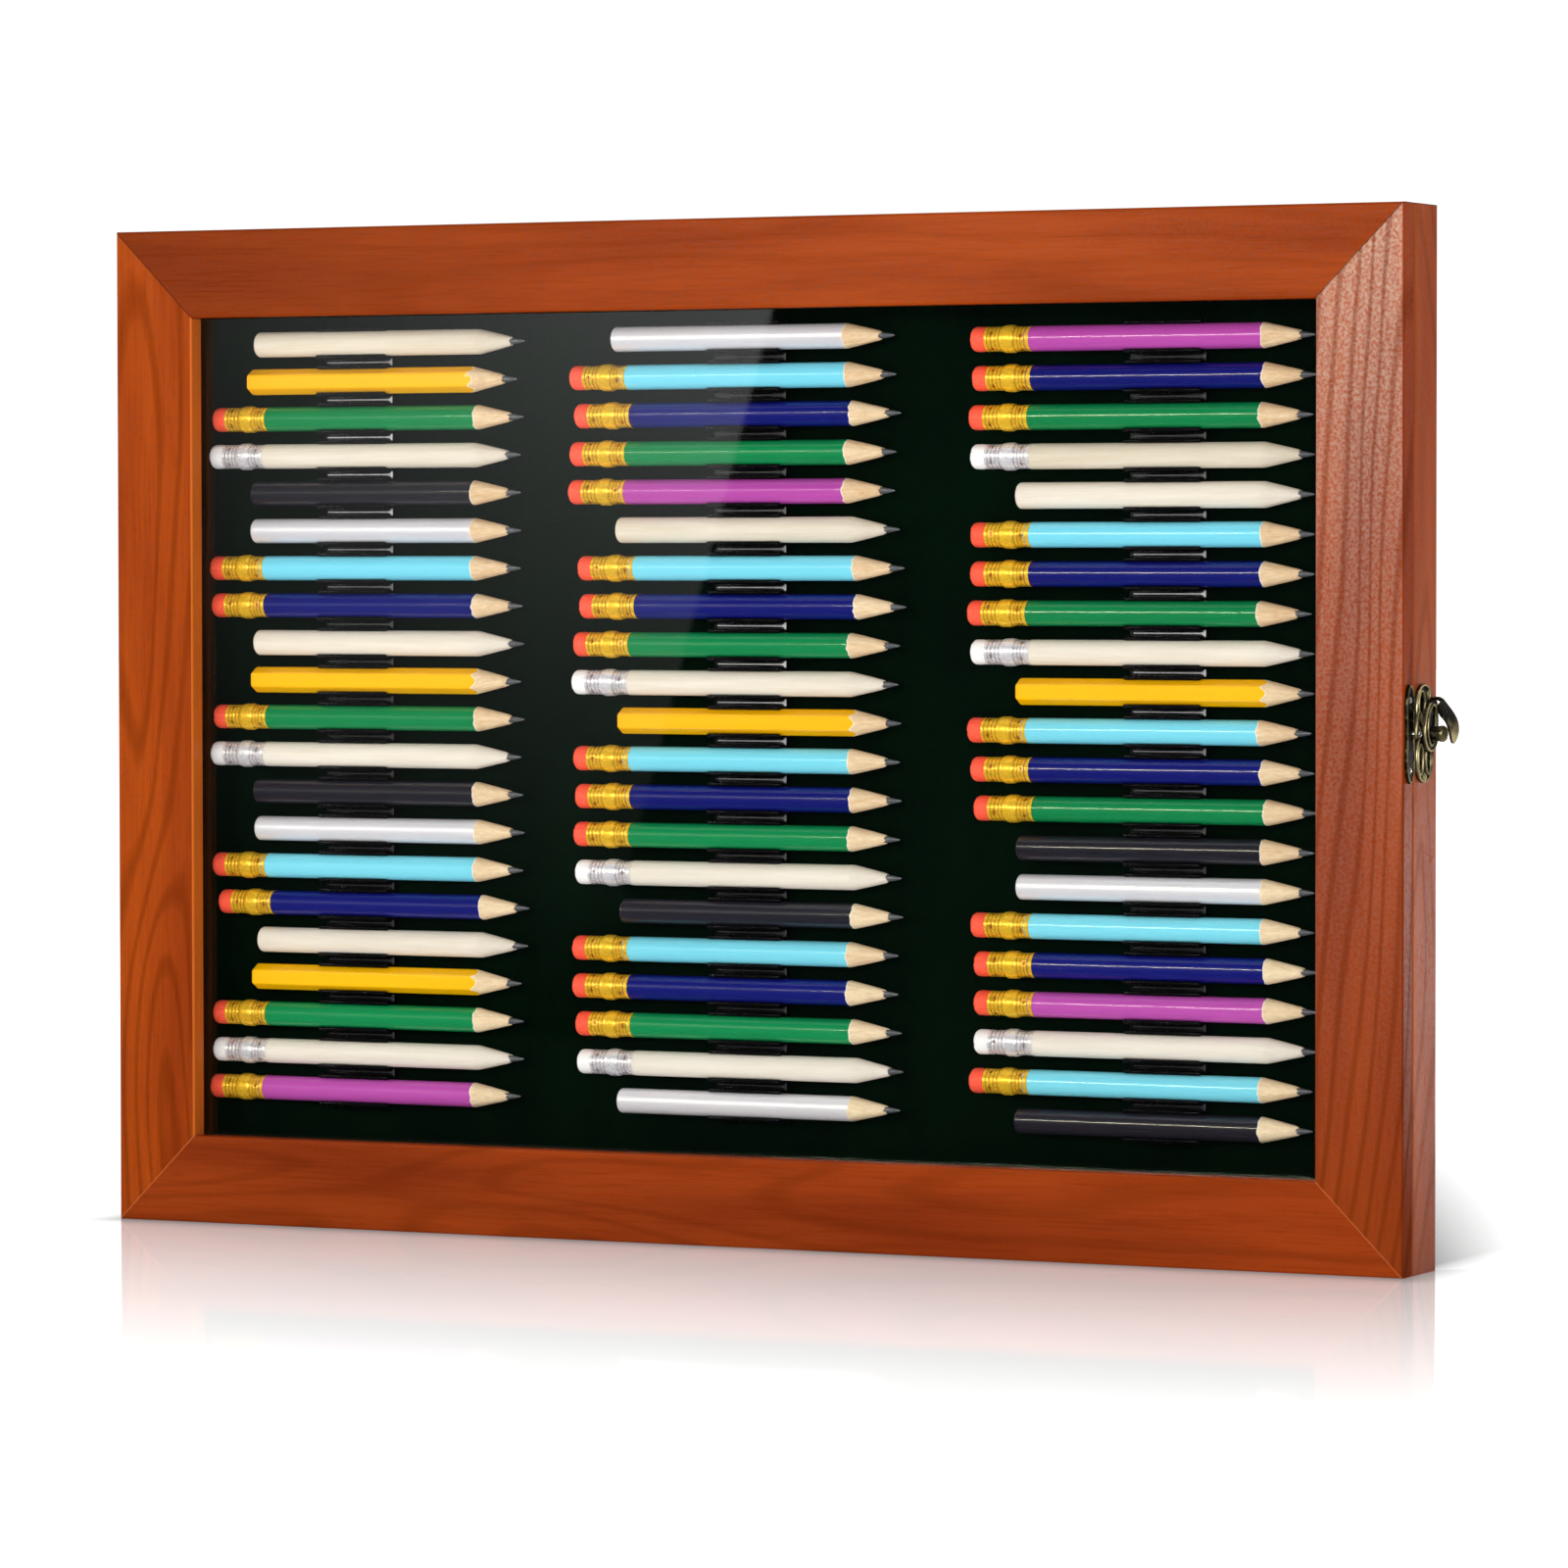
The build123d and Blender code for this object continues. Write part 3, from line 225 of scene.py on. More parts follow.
@dataclass(frozen=True)
class StainedWood:
    """Close-grained wood under a reddish stain and a satin varnish, with joints at the mitres: dark
    at the upper ones, and a painted highlight along the lower ones.

    The fields say how strong its growth lines are (lines), how they lean (slant), how glossy and
    rough the varnish is, how gritty its relief is (grit), how wide a line is (line_width), how many
    lines the slow noise gives (figure) and an even spacing adds (straight), how dull the varnish is
    at the foot (dull_low), where along the grain the colour is darker and by how much (darker_from,
    darker_to, darker_by), and right of which X the inner reveal is painted lighter, a painted light
    (lit_reveal_from).
    """

    name: str
    grain: Grain
    dark: Colour
    light: Colour
    seed: float
    lines: float = 0.5
    slant: float = 0.15
    gloss: float = 0.1
    roughness: float = 0.28
    grit: float = 0.2
    line_width: float = 0.75
    figure: float = 88.0
    straight: float = 0.0
    dull_low: float = 1.0
    darker_from: float = 0.0
    darker_to: float = 1.0
    darker_by: float = 0.0
    lit_reveal_from: float = 1000.0

    # A point is on a mitre where its distances from the middle in x and in z differ by this much
    MITRE_OFFSET = 57.15
    MIDDLE_HEIGHT = 146.05
    SIDE = 203.2
    # Cycles to the metre across the grain
    FIBRES = 900
    PORES = 2600
    GRITTINESS = 1000
    CLOUDS = 60
    WANDER = 24
    # How far the evenly spaced lines go across for each unit along
    LEAN = 0.114
    # The first colour is a painted light for the inner reveal, the second a painted highlight along
    # the lower mitres, the third the dark joint of the upper mitres.
    PAINTED_REVEAL_LIGHT = (206, 104, 34)
    PAINTED_SEAM_HIGHLIGHT = (178, 94, 52)
    UPPER_SEAM = (44, 14, 6)

    def joint(self, graph: Graph, axes: Sequence[Socket]) -> Socket:
        """Where the mitre planes are.

        Args:
            graph: the material's tree.
            axes: the point's x, y and z.

        Returns:
            1 on the planes and 0 beyond a third of a millimetre from them.
        """
        across = graph.math("ABSOLUTE", axes[0])
        up = graph.math("ABSOLUTE", graph.minus(axes[2], self.MIDDLE_HEIGHT * MM))
        apart = graph.minus(graph.minus(across, up), self.MITRE_OFFSET * MM)
        return graph.between(graph.math("ABSOLUTE", apart), 0.06 * MM, 0.34 * MM, 1.0, 0.0)

    def make(self) -> bpy.types.Material:
        """Stain that has taken unevenly, the arched lines of flat-sawn boards, and fine pores.

        The lines are the sine of a slow noise that is drawn out along the grain, so they follow its
        contours, plus an even share across the grain that leans a little. The varnish is duller on
        the outer sides of the case, and on some boards towards the foot. Where a board sets it, its
        inner reveal is painted lighter as a painted light, and the lower mitres carry a painted
        highlight.

        Returns:
            The material.
        """
        graph = Graph(self.name)
        axes = graph.add("SeparateXYZ", {0: graph.place()}).outputs
        shift = (self.seed, self.seed * 0.7, self.seed * 1.3)
        slant = (0.0, self.slant, 0.0)
        cycles = self.grain.cycles
        fibre = graph.noise(graph.stretched(cycles(self.FIBRES), shift), detail=3, roughness=0.65)
        pores = graph.noise(graph.stretched(cycles(self.PORES), shift), detail=1)
        grit = graph.noise(graph.stretched((self.GRITTINESS,) * 3, shift), detail=3, roughness=0.6)
        cloud = graph.noise(graph.stretched(cycles(self.CLOUDS, 0.12), shift, slant), detail=3)
        wander = graph.noise(graph.stretched(cycles(self.WANDER, 0.17), shift, slant), detail=1.5,
                             roughness=0.35, distortion=0.3)
        lean = graph.times(axes[self.grain.value], self.LEAN)
        even = graph.times(graph.minus(axes[2 - self.grain.value], lean), self.straight)
        ring = graph.math("SINE", graph.plus(graph.times(wander, self.figure), even))
        ring = graph.between(ring, 1.0 - self.line_width, 1.0)
        depth = graph.plus(graph.times(fibre, 0.25), graph.times(cloud, 0.95))
        stain = graph.blend(graph.between(depth, 0.40, 0.82), srgb(*self.dark), srgb(*self.light))
        deep = srgb(*(0.66 * value for value in self.dark))
        lined = graph.blend(graph.times(ring, self.lines * 0.5), stain, deep)
        flecked = graph.blend(graph.between(pores, 0.58, 0.75, 0.0, 0.22), lined, deep)
        flecked = graph.blend(graph.between(grit, 0.42, 0.62, 0.0, 0.14), flecked, deep)
        # A painted light: right of this X the inner reveal is painted a lighter orange wood,
        # standing in for light falling on it.
        thin = graph.between(axes[0], (self.lit_reveal_from - 0.1) * MM, (self.lit_reveal_from + 0.1) * MM,
                             0.0, 0.85)
        flecked = graph.blend(thin, flecked, srgb(*self.PAINTED_REVEAL_LIGHT))
        # Darker over a stretch along the grain, fading out towards its far end.
        share = graph.between(axes[self.grain.value], self.darker_from * MM, self.darker_to * MM,
                              self.darker_by, 0.0)
        shaded = graph.blend(share, flecked, deep)
        # The mitre joints: dark above, and below a painted highlight in pale wood.
        seam_and_highlight = graph.blend(graph.between(axes[2], 50 * MM, 100 * MM), srgb(*self.PAINTED_SEAM_HIGHLIGHT),
                           srgb(*self.UPPER_SEAM))
        jointed = graph.blend(graph.times(self.joint(graph, axes), 0.8), shaded, seam_and_highlight)
        outside = graph.math("ABSOLUTE", axes[0])
        gloss = graph.between(outside, (self.SIDE - 0.8) * MM, (self.SIDE - 0.1) * MM, self.gloss,
                              min(self.gloss, 0.05))
        gloss = graph.times(gloss, graph.between(grit, 0.38, 0.62, 0.4, 1.6))
        gloss = graph.times(gloss, graph.between(axes[2], 20 * MM, 240 * MM, self.dull_low, 1.0))
        gloss = graph.times(gloss, graph.between(ring, 0.0, 1.0, 1.0, 1 - 0.75 * self.lines))
        height = graph.plus(graph.times(pores, 0.6), fibre)
        height = graph.plus(height, graph.times(grit, self.grit))
        wood = graph.surface(
            Base_Color=jointed,
            Roughness=graph.between(fibre, 0.2, 0.8, self.roughness - 0.04, self.roughness + 0.05),
            Specular_IOR_Level=gloss, Normal=graph.relief(height, 0.03, 0.45))
        level = graph.tree.nodes["Principled BSDF"].inputs["Specular IOR Level"]
        level.default_value = self.gloss
        return wood


@dataclass(frozen=True)
class Lacquer:
    """Thick glossy paint on a pencil, a little streaked, and a little different on each."""

    name: str
    colour: Colour
    deep: Colour
    metallic: float = 0.0
    roughness: float = 0.32

    def make(self) -> bpy.types.Material:
        """Colour between light and deep by the pencil's own tone and faint streaks along X.

        Returns:
            The material.
        """
        graph = Graph(self.name)
        tone = graph.tone()
        streak = graph.noise(graph.stretched((25, 700, 700)), detail=3)
        mixed = graph.plus(graph.times(tone, 0.45), graph.times(streak, 0.2))
        colour = graph.blend(graph.between(mixed, 0.15, 0.8), srgb(*self.colour), srgb(*self.deep))
        return graph.surface(Base_Color=colour, Metallic=self.metallic, Roughness=self.roughness,
                             Specular_IOR_Level=0.15, Coat_Weight=0.7, Coat_Roughness=0.09)


@dataclass(frozen=True)
class BareWood:
    """Pale unpainted wood with fine fibres along X."""

    name: str
    light: Colour
    dark: Colour
    fibres: float = 0.6
    variety: float = 0.4

    def make(self) -> bpy.types.Material:
        """Fibres and rays along the barrel, toned from pencil to pencil.

        Returns:
            The material.
        """
        graph = Graph(self.name)
        tone = graph.tone()
        fibre = graph.noise(graph.stretched((70, 1700, 1700)), detail=3, roughness=0.7)
        broad = graph.noise(graph.stretched((30, 500, 500)), detail=2)
        depth = graph.plus(graph.times(fibre, self.fibres), graph.times(broad, 0.4))
        depth = graph.plus(depth, graph.times(tone, self.variety))
        colour = graph.blend(graph.between(depth, 0.5, 1.2), srgb(*self.light), srgb(*self.dark))
        return graph.surface(Base_Color=colour, Roughness=0.62, Specular_IOR_Level=0.3,
                             Normal=graph.relief(fibre, 0.05, 0.5))


@dataclass(frozen=True)
class PlainMetal:
    """Thin bright metal with faint scratches and a tarnish in its hollows."""

    name: str
    bright: Colour
    dull: Colour
    roughness: float = 0.26

    def make(self) -> bpy.types.Material:
        """Bright metal, duller by a fine noise, with small scratches in its relief.

        Returns:
            The material.
        """
        graph = Graph(self.name)
        spots = graph.noise(graph.stretched((900, 900, 900)), detail=3)
        fine = graph.noise(graph.stretched((700, 4000, 4000)), detail=2)
        colour = graph.blend(graph.between(spots, 0.35, 0.75), srgb(*self.bright), srgb(*self.dull))
        rough = graph.between(spots, 0.3, 0.7, self.roughness, self.roughness + 0.12)
        return graph.surface(Base_Color=colour, Metallic=1.0, Roughness=rough,
                             Normal=graph.relief(fine, 0.01, 0.3))


@dataclass(frozen=True)
class CrimpedFoil:
    """Thin bright ferrule metal, with dirt and a painted dark reflection in its grooves."""

    name: str
    bright: Colour
    groove: Colour

    def make(self) -> bpy.types.Material:
        """From groove to bright by the piece's own tone, unevenly, and not quite half metal.

        Returns:
            The material.
        """
        graph = Graph(self.name)
        tone = graph.tone()
        spots = graph.noise(graph.stretched((500, 1100, 1100)), detail=3)
        # The grooves and punch marks are darker: dirt, and a painted dark reflection.
        worn = graph.plus(graph.times(tone, 0.9), graph.times(spots, 0.2))
        colour = graph.blend(graph.between(worn, 0.05, 0.95), srgb(*self.groove),
                             srgb(*self.bright))
        return graph.surface(Base_Color=colour, Metallic=0.4,
                             Roughness=graph.between(spots, 0.3, 0.7, 0.24, 0.32),
                             Normal=graph.relief(spots, 0.03, 0.06))


@dataclass(frozen=True)
class AntiqueBronze:
    """Dark brown bronze, rubbed golden on what stands proud."""

    name: str = "antique_bronze_worn"

    def make(self) -> bpy.types.Material:
        """Brown-black in patches, golden where the piece's own tone says that it stands proud.

        Returns:
            The material.
        """
        graph = Graph(self.name)
        patches = graph.noise(graph.stretched((520, 520, 520)), detail=4, roughness=0.65)
        proud = graph.tone()
        worn = graph.plus(graph.times(proud, 0.8), graph.times(patches, 0.6))
        colour = graph.blend(graph.between(worn, 0.34, 1.05), srgb(22, 18, 13), srgb(250, 232, 176))
        rough = graph.between(patches, 0.3, 0.7, 0.25, 0.45)
        return graph.surface(Base_Color=colour, Metallic=0.8, Roughness=rough,
                             Specular_Tint=(0.4, 0.37, 0.32, 1.0),
                             Normal=graph.relief(patches, 0.12, 0.5))


@dataclass(frozen=True)
class Rubber:
    """Soft matt eraser rubber, scuffed and slightly dusty."""

    name: str
    colour: Colour
    dusty: Colour

    def make(self) -> bpy.types.Material:
        """Colour with pale dust in fine specks.

        Returns:
            The material.
        """
        graph = Graph(self.name)
        dust = graph.noise(graph.stretched((1300, 1300, 1300)), detail=3)
        colour = graph.blend(graph.between(dust, 0.5, 0.8, 0.0, 0.5), srgb(*self.colour),
                             srgb(*self.dusty))
        return graph.surface(Base_Color=colour, Roughness=0.6, Specular_IOR_Level=0.35,
                             Normal=graph.relief(dust, 0.08, 0.5))


@dataclass(frozen=True)
class Felt:
    """Short dense pile, nearly black green, uneven where it has been brushed."""

    name: str = "dark_green_felt_pile"

    def make(self) -> bpy.types.Material:
        """Colour by a coarse and a fine noise, with a faint sheen and a pile in the relief.

        Returns:
            The material.
        """
        graph = Graph(self.name)
        pile = graph.noise(graph.stretched((2200, 2200, 2200)), detail=3, roughness=0.7)
        brushed = graph.noise(graph.stretched((60, 60, 25)), detail=3)
        depth = graph.plus(graph.times(pile, 0.5), graph.times(brushed, 0.6))
        colour = graph.blend(graph.between(depth, 0.35, 0.8), srgb(0, 9, 4), srgb(1, 18, 7))
        return graph.surface(Base_Color=colour, Roughness=0.95, Specular_IOR_Level=0.02,
                             Sheen_Weight=0.008, Sheen_Roughness=0.5,
                             Normal=graph.relief(pile, 0.2, 0.6))


@dataclass(frozen=True)
class MouldedPlastic:
    """Glossy moulded plastic with a faint orange-peel surface."""

    name: str
    colour: Colour
    roughness: float = 0.22
    gloss: float = 0.5

    def make(self) -> bpy.types.Material:
        """Nearly plain colour, uneven gloss and a fine relief.

        Returns:
            The material.
        """
        graph = Graph(self.name)
        peel = graph.noise(graph.stretched((1500, 1500, 1500)), detail=2)
        shaded = srgb(*(0.8 * value for value in self.colour))
        colour = graph.blend(peel, srgb(*self.colour), shaded)
        rough = graph.between(peel, 0.3, 0.7, self.roughness, self.roughness + 0.1)
        return graph.surface(Base_Color=colour, Roughness=rough, Specular_IOR_Level=self.gloss,
                             Normal=graph.relief(peel, 0.03, 0.06))


@dataclass(frozen=True)
class PaintedHighlightRib:
    """Black moulding with a painted pale highlight."""

    name: str = "clip_rib_painted_highlight"

    def make(self) -> bpy.types.Material:
        """From black to a painted pale grey highlight by the rib's own tone, a little unevenly
        along it.

        Returns:
            The material.
        """
        graph = Graph(self.name)
        tone = graph.tone()
        spots = graph.noise(graph.stretched((900, 900, 900)), detail=2)
        uneven = graph.between(spots, 0.3, 0.7, 0.75, 1.1)
        colour = graph.blend(graph.times(tone, uneven), srgb(8, 7, 10), srgb(246, 243, 250))
        return graph.surface(Base_Color=colour, Roughness=0.4)


@dataclass(frozen=True)
class Graphite:
    """Grey shiny pencil core with fine turned lines."""

    name: str = "graphite_core"

    def make(self) -> bpy.types.Material:
        """Dark grey half metal, with fine lines round the point in its relief.

        Returns:
            The material.
        """
        graph = Graph(self.name)
        lines = graph.noise(graph.stretched((3000, 400, 400)), detail=2)
        colour = graph.blend(lines, srgb(76, 77, 84), srgb(132, 134, 142))
        return graph.surface(Base_Color=colour, Metallic=0.5, Roughness=0.3,
                             Normal=graph.relief(lines, 0.03, 0.25))


@dataclass(frozen=True)
class Hardboard:
    """Brown pressed board with a felted surface."""

    name: str = "pressed_back_board"

    def make(self) -> bpy.types.Material:
        """Brown with darker fibres in all directions.

        Returns:
            The material.
        """
        graph = Graph(self.name)
        fibre = graph.noise(graph.stretched((700, 700, 700)), detail=4, roughness=0.75)
        cloud = graph.noise(graph.stretched((40, 40, 40)), detail=2)
        depth = graph.plus(graph.times(fibre, 0.7), graph.times(cloud, 0.3))
        colour = graph.blend(graph.between(depth, 0.35, 0.65), srgb(122, 88, 56),
                             srgb(158, 120, 80))
        return graph.surface(Base_Color=colour, Roughness=0.75,
                             Normal=graph.relief(fibre, 0.08, 0.6))


@dataclass(frozen=True)
class ClearAcrylic:
    """Clear sheet that lets light straight through and mirrors a little, more at a low angle."""

    name: str = "clear_acrylic_sheet"

    def make(self) -> bpy.types.Material:
        """A clear and a mirror shader, mixed as 0.03 plus 0.97 times the fifth power of the slant.

        Returns:
            The material.
        """
        graph = Graph(self.name)
        slant = graph.add("LayerWeight", {"Blend": 0.5}).outputs["Facing"]
        mirror = graph.math("MULTIPLY_ADD", graph.math("POWER", slant, 5.0), 0.97)
        mirror.node.inputs[2].default_value = 0.03
        clear = graph.add("BsdfTransparent", {"Color": (0.985, 0.99, 0.987, 1.0)})
        gloss = graph.add("BsdfGlossy", {"Color": (1, 1, 1, 1), "Roughness": 0.015})
        both = graph.add("MixShader", {0: mirror, 1: clear.outputs[0], 2: gloss.outputs[0]})
        return graph.finished(both.outputs[0])


# Surfaces worked out as whole arrays
@dataclass
class Surface:
    """Points in millimetres, triangles that point outwards, and each triangle's finish and tone."""

    points: np.ndarray
    triangles: np.ndarray
    finishes: np.ndarray
    tone: np.ndarray

    @staticmethod
    def joined(parts: Sequence[Surface]) -> Surface:
        """Puts surfaces together, each with its own points.

        Args:
            parts: the surfaces.

        Returns:
            All of them as one surface.
        """
        starts = np.cumsum([0] + [len(part.points) for part in parts[:-1]])
        return Surface(
            np.concatenate([part.points for part in parts]),
            np.concatenate([part.triangles + start for part, start in zip(parts, starts)]),
            np.concatenate([part.finishes for part in parts]),
            np.concatenate([part.tone for part in parts]))

    def moved(self, offset: Sequence[float]) -> Surface:
        """The same surface, shifted."""
        return Surface(self.points + np.array(offset), self.triangles, self.finishes, self.tone)

    def outwards(self) -> Surface:
        """Turns a closed surface over if its enclosed volume comes out negative.

        Returns:
            The same surface, pointing outwards.
        """
        corner = self.points[self.triangles]
        volume = np.einsum("ij,ij->i", corner[:, 0], np.cross(corner[:, 1], corner[:, 2])).sum()
        turned = self.triangles if volume > 0 else self.triangles[:, ::-1]
        return Surface(self.points, turned, self.finishes, self.tone)


def skin(rings: np.ndarray, bands: np.ndarray | int = 0, tone: np.ndarray | float = 0.5,
         caps: tuple[np.ndarray, np.ndarray] | None = None) -> Surface:
    """Joins rings of points into one closed skin.

    Ring r, place s is joined to its neighbours r+1 and s+1, and the first and last rings are closed
    by a fan to their middles, or by the triangles given.

    Args:
        rings: points as ring, place, axis.
        bands: the finish between each ring and the next, as a number or one for each band.
        tone: the surface's own tone, 0 to 1, as one number or by ring and place.
        caps: triangles by place for the first and the last ring, in place of the fans.

    Returns:
        The skin, pointing outwards.
    """
    count, size = rings.shape[:2]
    index = np.arange(count * size).reshape(count, size)
    here, there = index[:-1], index[1:]
    here_next, there_next = np.roll(here, -1, 1), np.roll(there, -1, 1)
    quads = np.stack([here, here_next, there_next, there], -1).reshape(-1, 4)
    sides = np.concatenate([quads[:, [0, 1, 2]], quads[:, [0, 2, 3]]])
    bands = np.broadcast_to(bands, count - 1)
    side_bands = np.tile(np.repeat(bands, size), 2)
    tones = np.broadcast_to(tone, (count, size)).ravel()
    if caps is None:
        middles = np.stack([rings[0].mean(0), rings[-1].mean(0)])
        points = np.concatenate([rings.reshape(-1, 3), middles])
        tones = np.concatenate([tones, tones[[0, -1]]])
        first, last = index[0], index[-1]
        start = np.stack([np.roll(first, -1), first, np.full(size, count * size)], -1)
        end = np.stack([last, np.roll(last, -1), np.full(size, count * size + 1)], -1)
    else:
        points = rings.reshape(-1, 3)
        start = caps[0][:, ::-1]
        end = caps[1] + (count - 1) * size
    triangles = np.concatenate([sides, start, end])
    cap_bands = [np.full(len(start), bands[0]), np.full(len(end), bands[-1])]
    finishes = np.concatenate([side_bands, *cap_bands])
    return Surface(points, triangles, finishes, tones).outwards()


def turned(x: np.ndarray, radius: np.ndarray, places: int) -> np.ndarray:
    """Rings about the X axis.

    The point of ring r at angle a is x(r, a), radius(r, a) sin a, radius(r, a) cos a. So the angle
    0 is on top.

    Args:
        x: place along the axis, by ring or by ring and angle.
        radius: distance from the axis, by ring or by ring and angle.
        places: points in a ring.

    Returns:
        Points as ring, place, axis.
    """
    angle = np.arange(places) * FULL_TURN / places
    x, radius = (np.broadcast_to(given if given.ndim == 2 else given[:, None], (len(given), places))
                 for given in (x, radius))
    return np.stack([x, radius * np.sin(angle), radius * np.cos(angle)], -1)


def rounded_end(end: float, radius: float, corner: float,
                steps: int) -> tuple[np.ndarray, np.ndarray]:
    """Places and radii of rings that round a rod's end at its low-X side: a quarter circle.

    Args:
        end: X of the end face.
        radius: the rod's radius.
        corner: the quarter circle's radius.
        steps: rings on it.

    Returns:
        X and radius of each ring, from the end face inwards.
    """
    angle = np.linspace(np.pi / 2, 0, steps)
    return end + corner * (1 - np.sin(angle)), radius - corner * (1 - np.cos(angle))


def relief_plate(loops: Sequence[np.ndarray], stations: np.ndarray) -> Surface:
    """A thin plate seen along X, with a moulded border round its outline and its holes.

    Every loop is carried through the stations, drawn into the metal along its own normals and
    lifted in X, and the flat faces between the loops are filled with triangles.

    Args:
        loops: closed outlines as y and z, seen from +X, the outer one anticlockwise, holes not.
        stations: rows of inset, X and tone, from the back face's edge to the front face's.

    Returns:
        The closed plate.
    """
    count = len(stations)
    points, tones, triangles = [], [], []
    foot, brow, start = [], [], 0
    for loop in loops:
        size = len(loop)
        along = np.roll(loop, -1, 0) - np.roll(loop, 1, 0)
        inward = np.stack([-along[:, 1], along[:, 0]], -1) / np.linalg.norm(along, axis=1)[:, None]
        drawn = loop[None] + stations[:, 0, None, None] * inward[None]
        lifted = np.broadcast_to(stations[:, 1, None, None], (count, size, 1))
        points.append(np.concatenate([lifted, drawn], -1).reshape(-1, 3))
        tones.append(np.repeat(stations[:, 2], size))
        index = start + np.arange(count * size).reshape(count, size)
        here, there = index[:-1], index[1:]
        here_next, there_next = np.roll(here, -1, 1), np.roll(there, -1, 1)
        quads = np.stack([here, here_next, there_next, there], -1).reshape(-1, 4)
        triangles += [quads[:, [0, 1, 2]], quads[:, [0, 2, 3]]]
        foot.append(index[0])
        brow.append(index[-1])
        start += count * size
    points = np.concatenate(points)
    starts = np.cumsum([0] + [len(loop) for loop in loops])
    for edge, forward in ((np.concatenate(foot), False), (np.concatenate(brow), True)):
        flat = [[Vector((y, z, 0)) for y, z in points[edge[first:last], 1:]]
                for first, last in zip(starts[:-1], starts[1:])]
        face = edge[np.array(tessellate_polygon(flat))]
        corner = points[face][..., 1:]
        side, other = corner[:, 1] - corner[:, 0], corner[:, 2] - corner[:, 0]
        facing = side[:, 0] * other[:, 1] - side[:, 1] * other[:, 0] > 0
        triangles.append(np.where((facing == forward)[:, None], face, face[:, ::-1]))
    triangles = np.concatenate(triangles)
    return Surface(points, triangles, np.zeros(len(triangles), int), np.concatenate(tones))


def strap(path: np.ndarray, across: np.ndarray, outward: np.ndarray, half_width: np.ndarray,
          half_thickness: np.ndarray, face: np.ndarray | float, edge: float,
          places: int = 28) -> Surface:
    """A strap with a rounded-rectangle section carried along a path.

    The section's point at angle a lies half_width times the 0.6th power of cos a across, and
    half_thickness times the 0.6th power of sin a outward, with their signs kept.

    Args:
        path: the middle of each section.
        across: unit directions of the width.
        outward: unit directions of the thickness.
        half_width: by station.
        half_thickness: by station.
        face: the tone of its faces, as one number or by station.
        edge: the tone of its edges.
        places: points in a section.

    Returns:
        The closed strap.
    """
    angle = np.arange(places) * FULL_TURN / places
    squareness = 0.6
    wide = np.sign(np.cos(angle)) * np.abs(np.cos(angle)) ** squareness
    thick = np.sign(np.sin(angle)) * np.abs(np.sin(angle)) ** squareness
    rings = (path[:, None] + across[:, None] * (half_width[:, None] * wide)[..., None]
             + outward[:, None] * (half_thickness[:, None] * thick)[..., None])
    face = np.broadcast_to(face, len(path))[:, None]
    return skin(rings, 0, face + (edge - face) * np.abs(wide) ** 5)


class Workshop:
    """Makes each finish once, puts surfaces into the scene, and dresses the drawing's own parts."""

    def __init__(self) -> None:
        """Starts with no finish made."""
        self.made: dict[Finish, bpy.types.Material] = {}

    def finish(self, finish: Finish) -> bpy.types.Material:
        """Makes a finish's material the first time that it is asked for.

        Args:
            finish: the finish.

        Returns:
            Its material.
        """
        if finish not in self.made:
            self.made[finish] = finish.make()
        return self.made[finish]

    def piece(self, name: str, surface: Surface, finishes: Sequence[Finish], body: str, slot: str,
              replaces: Sequence[str] = (), crease: float = 38.0) -> bpy.types.Object:
        """Puts a surface into the scene as one piece on its body.

        Args:
            name: the piece's name.
            surface: its shape in millimetres.
            finishes: the finishes that its triangles count.
            body: the body that it moves with.
            slot: the name of a record's finish; not used.
            replaces: nodes that it stands for.
            crease: edges sharper than this many degrees stay sharp.

        Returns:
            The piece.
        """
        mesh = bpy.data.meshes.new(name)
        count = len(surface.triangles)
        mesh.vertices.add(len(surface.points))
        mesh.vertices.foreach_set("co", (surface.points * MM).astype(np.float32).ravel())
        mesh.loops.add(3 * count)
        mesh.loops.foreach_set("vertex_index", surface.triangles.astype(np.int32).ravel())
        mesh.polygons.add(count)
        mesh.polygons.foreach_set("loop_start", np.arange(0, 3 * count, 3, dtype=np.int32))
        for finish in finishes:
            mesh.materials.append(self.finish(finish))
        mesh.polygons.foreach_set("material_index", surface.finishes.astype(np.int32))
        mesh.polygons.foreach_set("use_smooth", np.ones(count, dtype=bool))
        tone = mesh.attributes.new("tone", "FLOAT", "POINT")
        tone.data.foreach_set("value", surface.tone.astype(np.float32))
        mesh.update(calc_edges=True)
        mesh.set_sharp_from_angle(angle=np.radians(crease))
        piece = bpy.data.objects.new(name, mesh)
        bpy.context.scene.collection.objects.link(piece)
        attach(piece, body)
        if replaces:
            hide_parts(*replaces)
        LOG.info("%s: %d triangles on %s", name, count, body)
        return piece

    def dress(self, finish: Finish, *nodes: str) -> None:
        """Gives nodes of the drawing a finish in place of their plain one.

        Args:
            finish: the finish.
            nodes: the nodes' names.
        """
        for node in nodes:
            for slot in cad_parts[node].material_slots:
                slot.material = self.finish(finish)
            LOG.info("%s: dressed with %s", node, finish.name)


